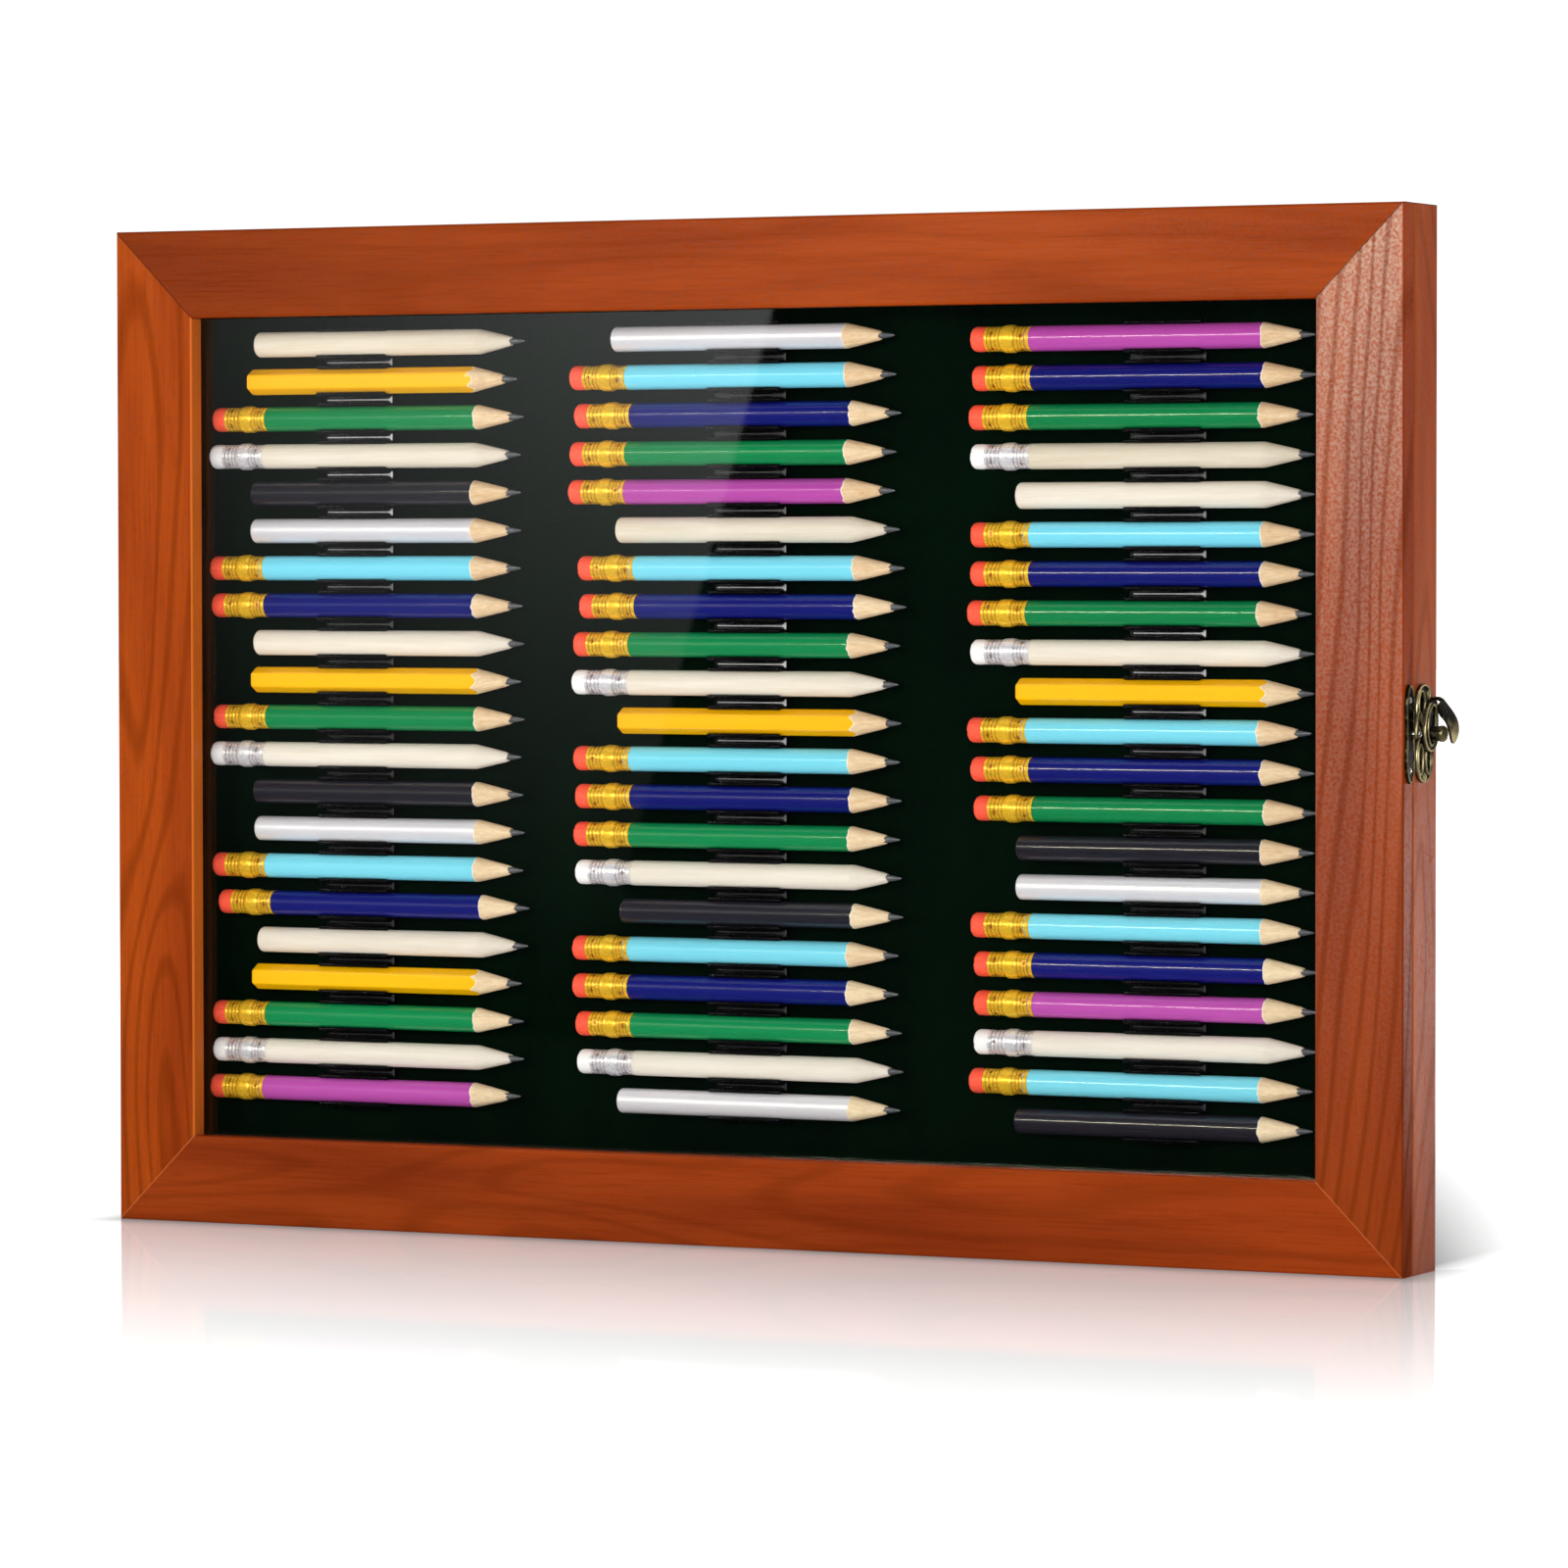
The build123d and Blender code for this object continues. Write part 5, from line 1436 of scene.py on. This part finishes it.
@dataclass
class Latch:
    """The antique latch on the right-hand side: plates, stud, swinging hook and their fasteners.

    Places are y and z from the stud's axis, and X is the distance out of the case.
    """

    workshop: Workshop
    side: float = 203.2
    pivot_y: float = 1.1
    pivot_z: float = 147.9
    plate_thickness: float = 0.8
    lobe_centre: float = 6.5
    lobe_height: float = 7.0
    loops: tuple[tuple[float, ...], ...] = (
        (-2.85, -7.0, 1.55, 3.9), (2.95, -7.0, 1.55, 3.9), (-1.9, 7.9, 2.1, 3.5))
    screws: tuple[tuple[float, float], ...] = ((3.2, 10.6), (0.0, -12.0))
    nails: tuple[tuple[float, float], ...] = ((-10.8, 9.2), (-10.8, -9.8))
    pin_y: float = -8.2
    hook_middle: float = 2.35
    eye_radius: float = 5.0
    bore: float = 1.72
    eye_height: float = 9.8
    arm_height: float = 7.6
    curl_radius: float = 2.0
    curl_turn: float = 140.0
    blade_radius: float = 13.0
    blade_turn: float = 54.0
    half_thickness: float = 0.52
    lean: float = 0.025
    leaf_marks: tuple[float, ...] = (0.0, 0.06, 0.15, 0.27, 0.37, 0.45, 0.53, 0.75, 1.0)
    leaf_front: tuple[float, ...] = (-0.7, -3.4, -6.0, -7.3, -6.9, -5.3, -4.0, -2.6, -1.4)
    leaf_back: tuple[float, ...] = (1.7, 1.9, 2.4, 3.3, 4.1, 4.6, 4.9, 5.0, 4.3)

    def outline(self, front: float, back: float, waist_share: float) -> np.ndarray:
        """A plate's edge, anticlockwise: two ellipses joined by a waist, its inner corners eased.

        Each lobe's point at angle a is half the width times cos a across and the lobe's height
        times sin a up. Every point is then averaged with its neighbours three times.

        Args:
            front: y of its front edge.
            back: y of its back edge.
            waist_share: the waist's width as a share of the lobes'.

        Returns:
            Rows of y and z.
        """
        half, middle = (back - front) / 2, (front + back) / 2
        reach = np.arccos(waist_share)
        angle = np.linspace(-reach, np.pi + reach, 60)
        height = self.lobe_centre + self.lobe_height * np.sin(angle)
        upper = np.stack([half * np.cos(angle), height], -1)
        loop = np.concatenate([upper, -upper])
        for _ in range(3):
            loop = (np.roll(loop, 1, 0) + 2 * loop + np.roll(loop, -1, 0)) / 4
        return loop + (middle, 0.0)

    def placed(self, surface: Surface) -> Surface:
        """A surface about the stud's axis, put on the case's side."""
        return surface.moved((self.side, self.pivot_y, self.pivot_z))

    @staticmethod
    def border(height: float, rim: float, width: float, shine: float) -> np.ndarray:
        """Stations of a plate's border: up the edge, over a round rim and down to the face.

        Args:
            height: the face's height.
            rim: how far the rim stands over it.
            width: the rim's width.
            shine: the tone of its crown.

        Returns:
            Rows of inset, height and tone.
        """
        turn = np.radians(np.linspace(180, 0, 7))
        sunk = 0.12
        inset = width / 2 * (1 + np.cos(turn))
        lift = height - sunk + (rim + sunk) * np.sin(turn)
        rim_rows = np.stack([inset, lift, np.clip(np.sin(turn) * 1.1, 0.2, 1) * shine], -1)
        return np.vstack([[0.0, 0.0, 0.0], rim_rows, [width + 0.2, height - 0.10, 0.0]])

    @staticmethod
    def oval(y: float, z: float, half_width: float, half_height: float,
             places: int = 40) -> np.ndarray:
        """An ellipse as a hole's outline, clockwise."""
        turn = -np.arange(places) * FULL_TURN / places
        return np.stack([y + half_width * np.cos(turn), z + half_height * np.sin(turn)], -1)

    def case_plate(self) -> Surface:
        """The plate on the box: a raised rim round its edge and each of its three sunk loops.

        A thin sheet closes the loops from behind, and the rims are paler towards the front and
        darker towards the back.

        Returns:
            Plate, sheet and the boss round the stud.
        """
        edge = self.outline(-6.2, 6.4, 0.42)
        holes = [self.oval(*loop) for loop in self.loops]
        plate = relief_plate([edge, *holes], self.border(self.plate_thickness, 0.42, 0.55, 1.0))
        # Paler towards the front, darker towards the back.
        plate.tone *= np.interp(plate.points[:, 1], [-6.0, 6.0], [1.1, 0.4])
        sheet = relief_plate([self.outline(-5.6, 5.8, 0.36)], np.array([[0, 0, 0], [0, 0.3, 0]]))
        boss_rings = turned(np.array([0.2, 1.5, 1.65, 1.7]), np.array([2.6, 2.6, 2.45, 1.0]), 40)
        boss = skin(boss_rings, 0, 0.1)
        return self.placed(Surface.joined([plate, sheet, boss]))

    def door_plate(self) -> Surface:
        """The narrow plate on the door's edge, nearly straight along its sides."""
        edge = self.outline(-12.9, -7.0, 0.86)
        border = self.border(self.plate_thickness, 0.15, 0.7, 0.3)
        return self.placed(relief_plate([edge], border))

    def stud(self) -> Surface:
        """The turned stud: shaft, collar, waisted neck and domed head, as radii along X.

        Returns:
            The closed stud, with its head a little rubbed.
        """
        x = np.array([-5.0, 3.0, 3.0, 3.15, 3.5, 3.8, 4.3, 5.0, 5.8, 6.5, 7.1, 7.4, 7.5])
        radius = np.array([1.6, 1.6, 2.2, 2.3, 2.3, 2.1, 1.95, 2.05, 2.25, 2.25, 1.8, 1.1, 0.4])
        tone = np.clip((x - 3.6) / 3.0, 0, 1)[:, None] * np.ones(32) * 0.3
        return self.placed(skin(turned(x, radius, 32), 0, tone))

    def eye(self) -> Surface:
        """The flat of the hook: a leaf-shaped ring round a sunk panel with a round bore.

        The leaf's lower half is a half circle and its upper half an ellipse of the same width,
        which leans back by the square of its height.

        Returns:
            Ring and panel, about the stud's axis.
        """
        angle = np.arange(72) * FULL_TURN / 72
        tall = np.where(np.sin(angle) > 0, self.eye_height, self.eye_radius)
        leaf = np.stack([self.eye_radius * np.cos(angle), tall * np.sin(angle)], -1)
        window = self.oval(0.3, 2.3, 2.5, 5.3, 48)
        ring = self.border(2 * self.half_thickness, 0.3, 0.6, 1.0)
        ring[:, 1] += self.hook_middle - self.half_thickness
        low, high = self.hook_middle - 0.45, self.hook_middle + 0.1
        rim = self.oval(0.3, 2.3, 2.8, 5.6, 48)[::-1]
        panel = relief_plate([rim, self.oval(0, 0, self.bore, self.bore)],
                             np.array([[0, low, 0], [0, high, 0]]))
        eye = Surface.joined([relief_plate([leaf, window], ring), panel])
        # Paler towards the front, darker towards the back.
        eye.tone *= np.interp(eye.points[:, 1], [-5.0, 3.0], [1.1, 0.35])
        eye.points[:, 1] += self.lean * np.maximum(eye.points[:, 2], 0) ** 2
        return eye

    def leaf(self) -> Surface:
        """The thumb tab: a strap that rises with the arm, curls out over the stud and hangs down.

        Its middle runs up a line, round the curl's arc and down the blade's longer arc. It is
        narrow at the curl, widens quickly to a leaf as broad as the eye, and closes to a rounded
        end.

        Returns:
            The closed strap, about the stud's axis.
        """
        bend, blade = 15, 32
        end = 180.0 - self.curl_turn
        turn = np.radians(np.concatenate([
            [180.0, 180.0, 180.0], np.linspace(168.0, end, bend - 3),
            np.linspace(end - 3, end - self.blade_turn, blade)]))
        arm = np.array([self.hook_middle + self.curl_radius, self.arm_height])
        tip = np.radians(end)
        toward_tip = np.array([np.cos(tip), np.sin(tip)])
        elbow = arm + (self.curl_radius - self.blade_radius) * toward_tip
        centre = np.concatenate([np.tile(arm, (bend, 1)), np.tile(elbow, (blade, 1))])
        radius = np.repeat([self.curl_radius, self.blade_radius], [bend, blade])
        middle = centre + radius[:, None] * np.stack([np.cos(turn), np.sin(turn)], -1)
        middle[:2, 1] -= (2.6, 1.2)
        along = np.concatenate([np.zeros(bend), np.linspace(0.06, 1, blade)])
        near = np.interp(along, self.leaf_marks, self.leaf_front)
        far = np.interp(along, self.leaf_marks, self.leaf_back)
        width = (far - near) / 2 * np.sqrt(np.clip(1.02 - along ** 7, 0.04, 1))
        flat = np.zeros(bend + blade)
        path = np.stack([middle[:, 0], (near + far) / 2, middle[:, 1]], -1)
        outward = np.stack([np.cos(turn), flat, np.sin(turn)], -1)
        across = np.tile((0.0, 1.0, 0.0), (bend + blade, 1))
        thick = self.half_thickness * (1 - 0.25 * along)
        face = np.interp(along, (0.35, 0.6, 0.9), (0.0, 0.2, 0.24))
        return strap(path, across, outward, width, thick, face, 0.0)

    def claw(self) -> Surface:
        """The finger in front of the catch pin: out from the eye, then round an arc downwards.

        Returns:
            The closed strap, about the stud's axis.
        """
        arm = np.radians(143.0)
        reach = np.linspace(3.4, 9.0, 7)
        straight = reach[:, None] * np.array([np.cos(arm), np.sin(arm)])
        sweep = np.radians(np.linspace(146, 187, 16))
        arc = 9.82 * np.stack([np.cos(sweep), np.sin(sweep)], -1)
        flat = np.concatenate([straight, arc])
        along = np.gradient(flat, axis=0)
        along /= np.linalg.norm(along, axis=1)[:, None]
        path = np.column_stack([np.full(len(flat), self.hook_middle), flat])
        across = np.column_stack([np.zeros(len(flat)), -along[:, 1], along[:, 0]])
        outward = np.tile((1.0, 0.0, 0.0), (len(flat), 1))
        width = np.concatenate([
            np.linspace(1.3, 0.75, 7), np.linspace(0.62, 0.55, 14), [0.45, 0.25]])
        thick = np.full(len(flat), self.half_thickness)
        return strap(path, across, outward, width, thick, 0.1, 0.35, 16)

    def domed(self, y: float, z: float, radius: float, height: float, slot: float) -> Surface:
        """A fastener's head: a dome whose crown is cut by a straight slot, and its shank.

        The dome falls with the square of the distance from the axis, and the slot lowers what lies
        nearer than its half width to a line through the axis.

        Args:
            y: its place in depth, from the stud's axis.
            z: its place in height, from the stud's axis.
            radius: the head's radius.
            height: how far the crown stands over the plate.
            slot: the slot's depth.

        Returns:
            The closed head with its shank.
        """
        share = np.array([0.1, 0.25, 0.4, 0.55, 0.7, 0.85, 0.96, 1.0, 1.0, 0.5, 0.5])
        places = 48
        angle = np.arange(places) * FULL_TURN / places
        rise = self.plate_thickness + height * (1 - share ** 2 * 0.75)
        rise[-3:] = (self.plate_thickness - 0.1, self.plate_thickness - 0.2, -3.0)
        x = rise[:, None] * np.ones(places)
        apart = np.abs(share[:, None] * radius * np.sin(angle + 0.6))
        cut = 1 / (1 + (apart / 0.2) ** 8)
        x[:8] -= slot * cut[:8]
        tone = np.broadcast_to(0.75 - 0.5 * cut, x.shape)
        head = skin(turned(x, share[:, None] * radius * np.ones(places), places), 0, tone)
        return self.placed(head.moved((0, y, z)))

    def build(self) -> None:
        """Makes the latch's pieces, each on its own body."""
        bronze, piece = AntiqueBronze(), self.workshop.piece
        piece("latch_pierced_plate", self.case_plate(), [bronze], "case", "antique_bronze",
              ["latch_plate_case"])
        piece("latch_edge_plate", self.door_plate(), [bronze], "door", "antique_bronze",
              ["latch_plate_door"])
        piece("latch_turned_stud", self.stud(), [bronze], "case", "antique_bronze",
              ["latch_pivot_stud"])
        hook = Surface.joined([self.eye(), self.leaf(), self.claw()])
        piece("latch_swing_hook", self.placed(hook), [bronze], "hook", "antique_bronze",
              ["latch_hook"])
        screws = Surface.joined([self.domed(y, z, 1.2, 0.7, 0.35) for y, z in self.screws])
        piece("latch_slotted_screws", screws, [bronze], "case", "antique_bronze",
              ["latch_screws_case"])
        nickel = PlainMetal("bright_nail_metal", (240, 238, 232), (190, 186, 178), 0.2)
        nails = Surface.joined([self.domed(y, z, 0.9, 0.5, 0.0) for y, z in self.nails])
        piece("latch_edge_nails", nails, [nickel], "door", "antique_bronze", ["latch_nails_door"])
        pin = skin(turned(np.array([-5.0, 2.7, 3.0, 3.2]), np.array([0.8, 0.8, 0.65, 0.3]), 24))
        piece("latch_catch", self.placed(pin.moved((0, self.pin_y, 0))), [nickel], "door",
              "antique_bronze", ["latch_catch_pin"])


@dataclass
class Fittings:
    """Pane, tabs, hinges, hangers and screws, which keep the drawing's shapes."""

    workshop: Workshop

    def build(self) -> None:
        """Dresses them with their own metals and plastics."""
        dress = self.workshop.dress
        dress(ClearAcrylic(), "acrylic_pane")
        steel = PlainMetal("zinc_plated_steel", (206, 206, 204), (150, 150, 150), 0.3)
        dress(MouldedPlastic("pane_tab_plastic", (20, 20, 22), 0.35), "pane_clips")
        dress(steel, "back_panel_screws", "rack_screws", "hanger_plates", "hanger_screws",
              "pane_clip_screws")
        dress(AntiqueBronze(), "hinge_leaf_case_lower", "hinge_leaf_case_upper",
              "hinge_leaf_door_lower", "hinge_leaf_door_upper", "hinge_pin_lower",
              "hinge_pin_upper", "hinge_screws_case", "hinge_screws_door")


@dataclass(frozen=True)
class SoftBox:
    """One lamp: its name, middle, the point that it faces, size, power in watts and colour."""

    name: str
    place: tuple[float, float, float]
    aim: tuple[float, float, float]
    size: tuple[float, float]
    power: float
    colour: Colour = (1.0, 1.0, 1.0)

    def light(self) -> None:
        """Hangs it up, out of the camera's sight."""
        data = bpy.data.lights.new(self.name, "AREA")
        data.shape = "RECTANGLE"
        data.size, data.size_y = self.size
        data.energy = self.power
        data.color = self.colour
        lamp = bpy.data.objects.new(self.name, data)
        lamp.location = self.place
        toward = Vector(self.aim) - Vector(self.place)
        lamp.rotation_mode = "QUATERNION"
        lamp.rotation_quaternion = toward.to_track_quat("-Z", "Y")
        lamp.visible_camera = False
        bpy.context.scene.collection.objects.link(lamp)


@dataclass
class Studio:
    """Pale floor, soft lights, white surroundings and the camera, in metres."""

    camera_place: tuple[float, float, float] = (0.9038, -1.8209, 0.1985)
    camera_aim: tuple[float, float, float] = (-0.44034, 0.89722, -0.03298)
    camera_roll: float = -0.07
    lens: float = 163.8
    case_side: float = 0.2032
    case_front: float = 0.0127
    table_reach: float = 9.0
    reflection: float = 0.74
    reflection_reach: float = 0.55
    contact_dark: float = 0.6
    contact_reach: float = 0.016
    shadow_dark: float = 0.68
    card_corners: tuple[tuple[float, float], ...] = (
        (-0.95, -0.02), (-0.5735848, -0.02), (-0.4368928, 0.45), (-0.95, 0.45))
    soft_boxes: tuple[SoftBox, ...] = (
        SoftBox("front_softbox", (0.9, -2.3, 0.60), (0.0, 0.0, 0.14), (1.3, 0.9), 31.0),
        SoftBox("left_softbox", (-2.0, -1.1, 0.55), (0.0, 0.0, 0.14), (1.0, 0.8), 15.5),
        SoftBox("highlight_softbox", (-0.75, -1.95, 0.60), (0.1, 0, 0.2), (0.8, 0.16), 13.0,
                (1.0, 0.95, 0.72)),
        SoftBox("side_softbox", (0.42, 0.45, 0.05), (0.2, 0, 0.03), (0.28, 0.14), 0.55),
        SoftBox("top_softbox", (0.0, -0.2, 2.2), (0, 0, 0), (2.4, 2.0), 15.0))

    def camera(self) -> None:
        """A long lens at the photograph's viewing angle."""
        data = bpy.data.cameras.new("portrait_camera")
        data.lens = self.lens
        data.sensor_width = 36.0
        data.clip_start, data.clip_end = 0.05, 60.0
        camera = bpy.data.objects.new("portrait_camera", data)
        aim = Vector(self.camera_aim).to_track_quat("-Z", "Y")
        camera.rotation_mode = "QUATERNION"
        camera.rotation_quaternion = aim @ Quaternion((0, 0, 1), np.radians(self.camera_roll))
        camera.location = self.camera_place
        bpy.context.scene.collection.objects.link(camera)
        bpy.context.scene.camera = camera

    @staticmethod
    def flat_piece(name: str, corners: Sequence[Sequence[float]],
                   material: bpy.types.Material) -> bpy.types.Object:
        """Puts one flat four-cornered face into the scene.

        Args:
            name: its name.
            corners: its corners in order.
            material: its material.

        Returns:
            The object.
        """
        mesh = bpy.data.meshes.new(name)
        mesh.from_pydata(corners, [], [(0, 1, 2, 3)])
        mesh.materials.append(material)
        flat = bpy.data.objects.new(name, mesh)
        bpy.context.scene.collection.objects.link(flat)
        return flat

    def table_top(self) -> bpy.types.Material:
        """White, polished so that it mirrors faintly near the case.

        The mirror's share falls evenly with the distance from the case's own footprint, and a glow
        of the table's own keeps it white into the distance. A painted contact shade darkens a
        narrow band round the footprint, and a painted soft shadow lies behind the case. The shadow
        is a
        product of lines: one falls off to the right of the case along a slanted front, the others
        off to the back, to the front and to the left.

        Returns:
            The material.
        """
        graph = Graph("white_table_top")
        axes = graph.add("SeparateXYZ", {0: graph.place()}).outputs
        beside = graph.minus(graph.math("ABSOLUTE", axes[0]), self.case_side)
        before = graph.minus(graph.math("ABSOLUTE", axes[1]), self.case_front)
        corner = graph.add("CombineXYZ", {0: graph.math("MAXIMUM", beside, 0.0),
                                          1: graph.math("MAXIMUM", before, 0.0)}).outputs[0]
        away = graph.add("VectorMath", {0: corner}, operation="LENGTH").outputs["Value"]
        share = graph.between(away, 0.0, self.reflection_reach, self.reflection, 0.0)
        matt = graph.add("BsdfDiffuse", {"Color": (0.5, 0.5, 0.5, 1)}).outputs[0]
        glow = graph.add("Emission", {"Color": (1, 1, 1, 1), "Strength": 1.15}).outputs[0]
        base = graph.add("AddShader", {0: matt, 1: glow}).outputs[0]
        gloss = graph.add("BsdfGlossy", {"Color": (1, 1, 1, 1), "Roughness": 0.05}).outputs[0]
        both = graph.add("MixShader", {0: share, 1: base, 2: gloss}).outputs[0]
        # A painted contact shade in a narrow band round the footprint.
        painted_contact_shade = graph.between(away, 0.0, self.contact_reach, self.contact_dark, 0.0)
        aside = graph.plus(graph.times(graph.minus(axes[0], self.case_side), 0.93),
                           graph.times(axes[1], 0.36))
        left = graph.plus(axes[0], graph.times(axes[1], 0.61))
        shadow = graph.between(aside, 0.0046, 0.0315, self.shadow_dark, 0.0)
        for axis, start, end in ((axes[1], 0.55, 0.02), (axes[1], -0.014, 0.01),
                                 (axes[0], 0.2101, 0.1969), (left, -0.16, -0.04)):
            shadow = graph.times(shadow, graph.between(axis, start, end))
        # The colour of the painted shade and shadow: a dim grey glow mixed in where they fall.
        dark = graph.add("Emission", {"Color": (0.2, 0.2, 0.2, 1), "Strength": 0.4}).outputs[0]
        share = graph.math("MAXIMUM", graph.math("POWER", painted_contact_shade, 1.5), shadow)
        return graph.finished(graph.add("MixShader", {0: share, 1: both, 2: dark}).outputs[0])

    def floor(self) -> None:
        """A large table top, which nothing else mirrors."""
        reach = self.table_reach
        corners = [(-reach, -reach, 0), (reach, -reach, 0), (reach, reach, 0), (-reach, reach, 0)]
        table = self.flat_piece("white_table", corners, self.table_top())
        table.visible_glossy = False

    def card(self) -> None:
        """The white card that the pane mirrors, with a slanted right edge, fading left and down.

        It stands level with the pane, a metre in front of it and to the left, and only shines on
        what mirrors it. Its brightness is a line across times the square of its height.
        """
        graph = Graph("mirrored_card_glow")
        axes = graph.add("SeparateXYZ", {0: graph.place()}).outputs
        across = graph.between(axes[0], -0.78, -0.48, 0.23, 1.02)
        height = graph.math("POWER", graph.between(axes[2], -0.02, 0.31), 2.0)
        glow = graph.add("Emission", {"Color": (0.97, 1, 0.98, 1),
                                      "Strength": graph.times(across, height)})
        corners = [(x, -1.0, z) for x, z in self.card_corners]
        card = self.flat_piece("mirrored_card", corners, graph.finished(glow.outputs[0]))
        card.visible_camera = card.visible_diffuse = card.visible_shadow = False
        card.visible_transmission = False

    def surroundings(self) -> None:
        """White all round for the camera; for the case, bright behind and dim in front.

        The brightness that lights the case grows smoothly with the direction's Y, and falls to
        a third towards positive X.
        """
        world = bpy.data.worlds.new("studio")
        bpy.context.scene.world = world
        graph = Graph("studio", world)
        direction = graph.add("TexCoord").outputs["Generated"]
        axes = graph.add("SeparateXYZ", {0: direction}).outputs
        behind = graph.between(axes[1], -0.3, 0.6, 0.01, 1.0)
        behind.node.interpolation_type = "SMOOTHSTEP"
        right = graph.between(axes[0], 0.05, 0.35, 1.0, 0.32)
        around = graph.add("Background", {"Color": (1, 1, 1, 1),
                                          "Strength": graph.times(behind, right)})
        white = graph.add("Background", {"Color": (1, 1, 1, 1), "Strength": 1.05})
        seen = graph.add("LightPath").outputs["Is Camera Ray"]
        mixed = graph.add("MixShader", {0: seen, 1: around.outputs[0], 2: white.outputs[0]})
        graph.add("OutputWorld", {"Surface": mixed.outputs[0]})

    def build(self) -> None:
        """Sets up the whole studio."""
        self.camera()
        self.floor()
        self.card()
        self.surroundings()
        for box in self.soft_boxes:
            box.light()
        view = bpy.context.scene.view_settings
        view.view_transform = "Standard"
        view.look = "None"
        LOG.info("studio: camera, table, card and %d soft boxes", len(self.soft_boxes))


def main() -> None:
    """Builds the studio and every part of the case, in order."""
    logging.basicConfig(level=logging.INFO, format="%(name)s %(message)s")
    workshop = Workshop()
    Studio().build()
    WoodFrame(workshop).build()
    CaseBack(workshop).build()
    ClipRacks(workshop).build()
    Pencils(workshop).build()
    Latch(workshop).build()
    Fittings(workshop).build()


if __name__ == "__main__":
    main()
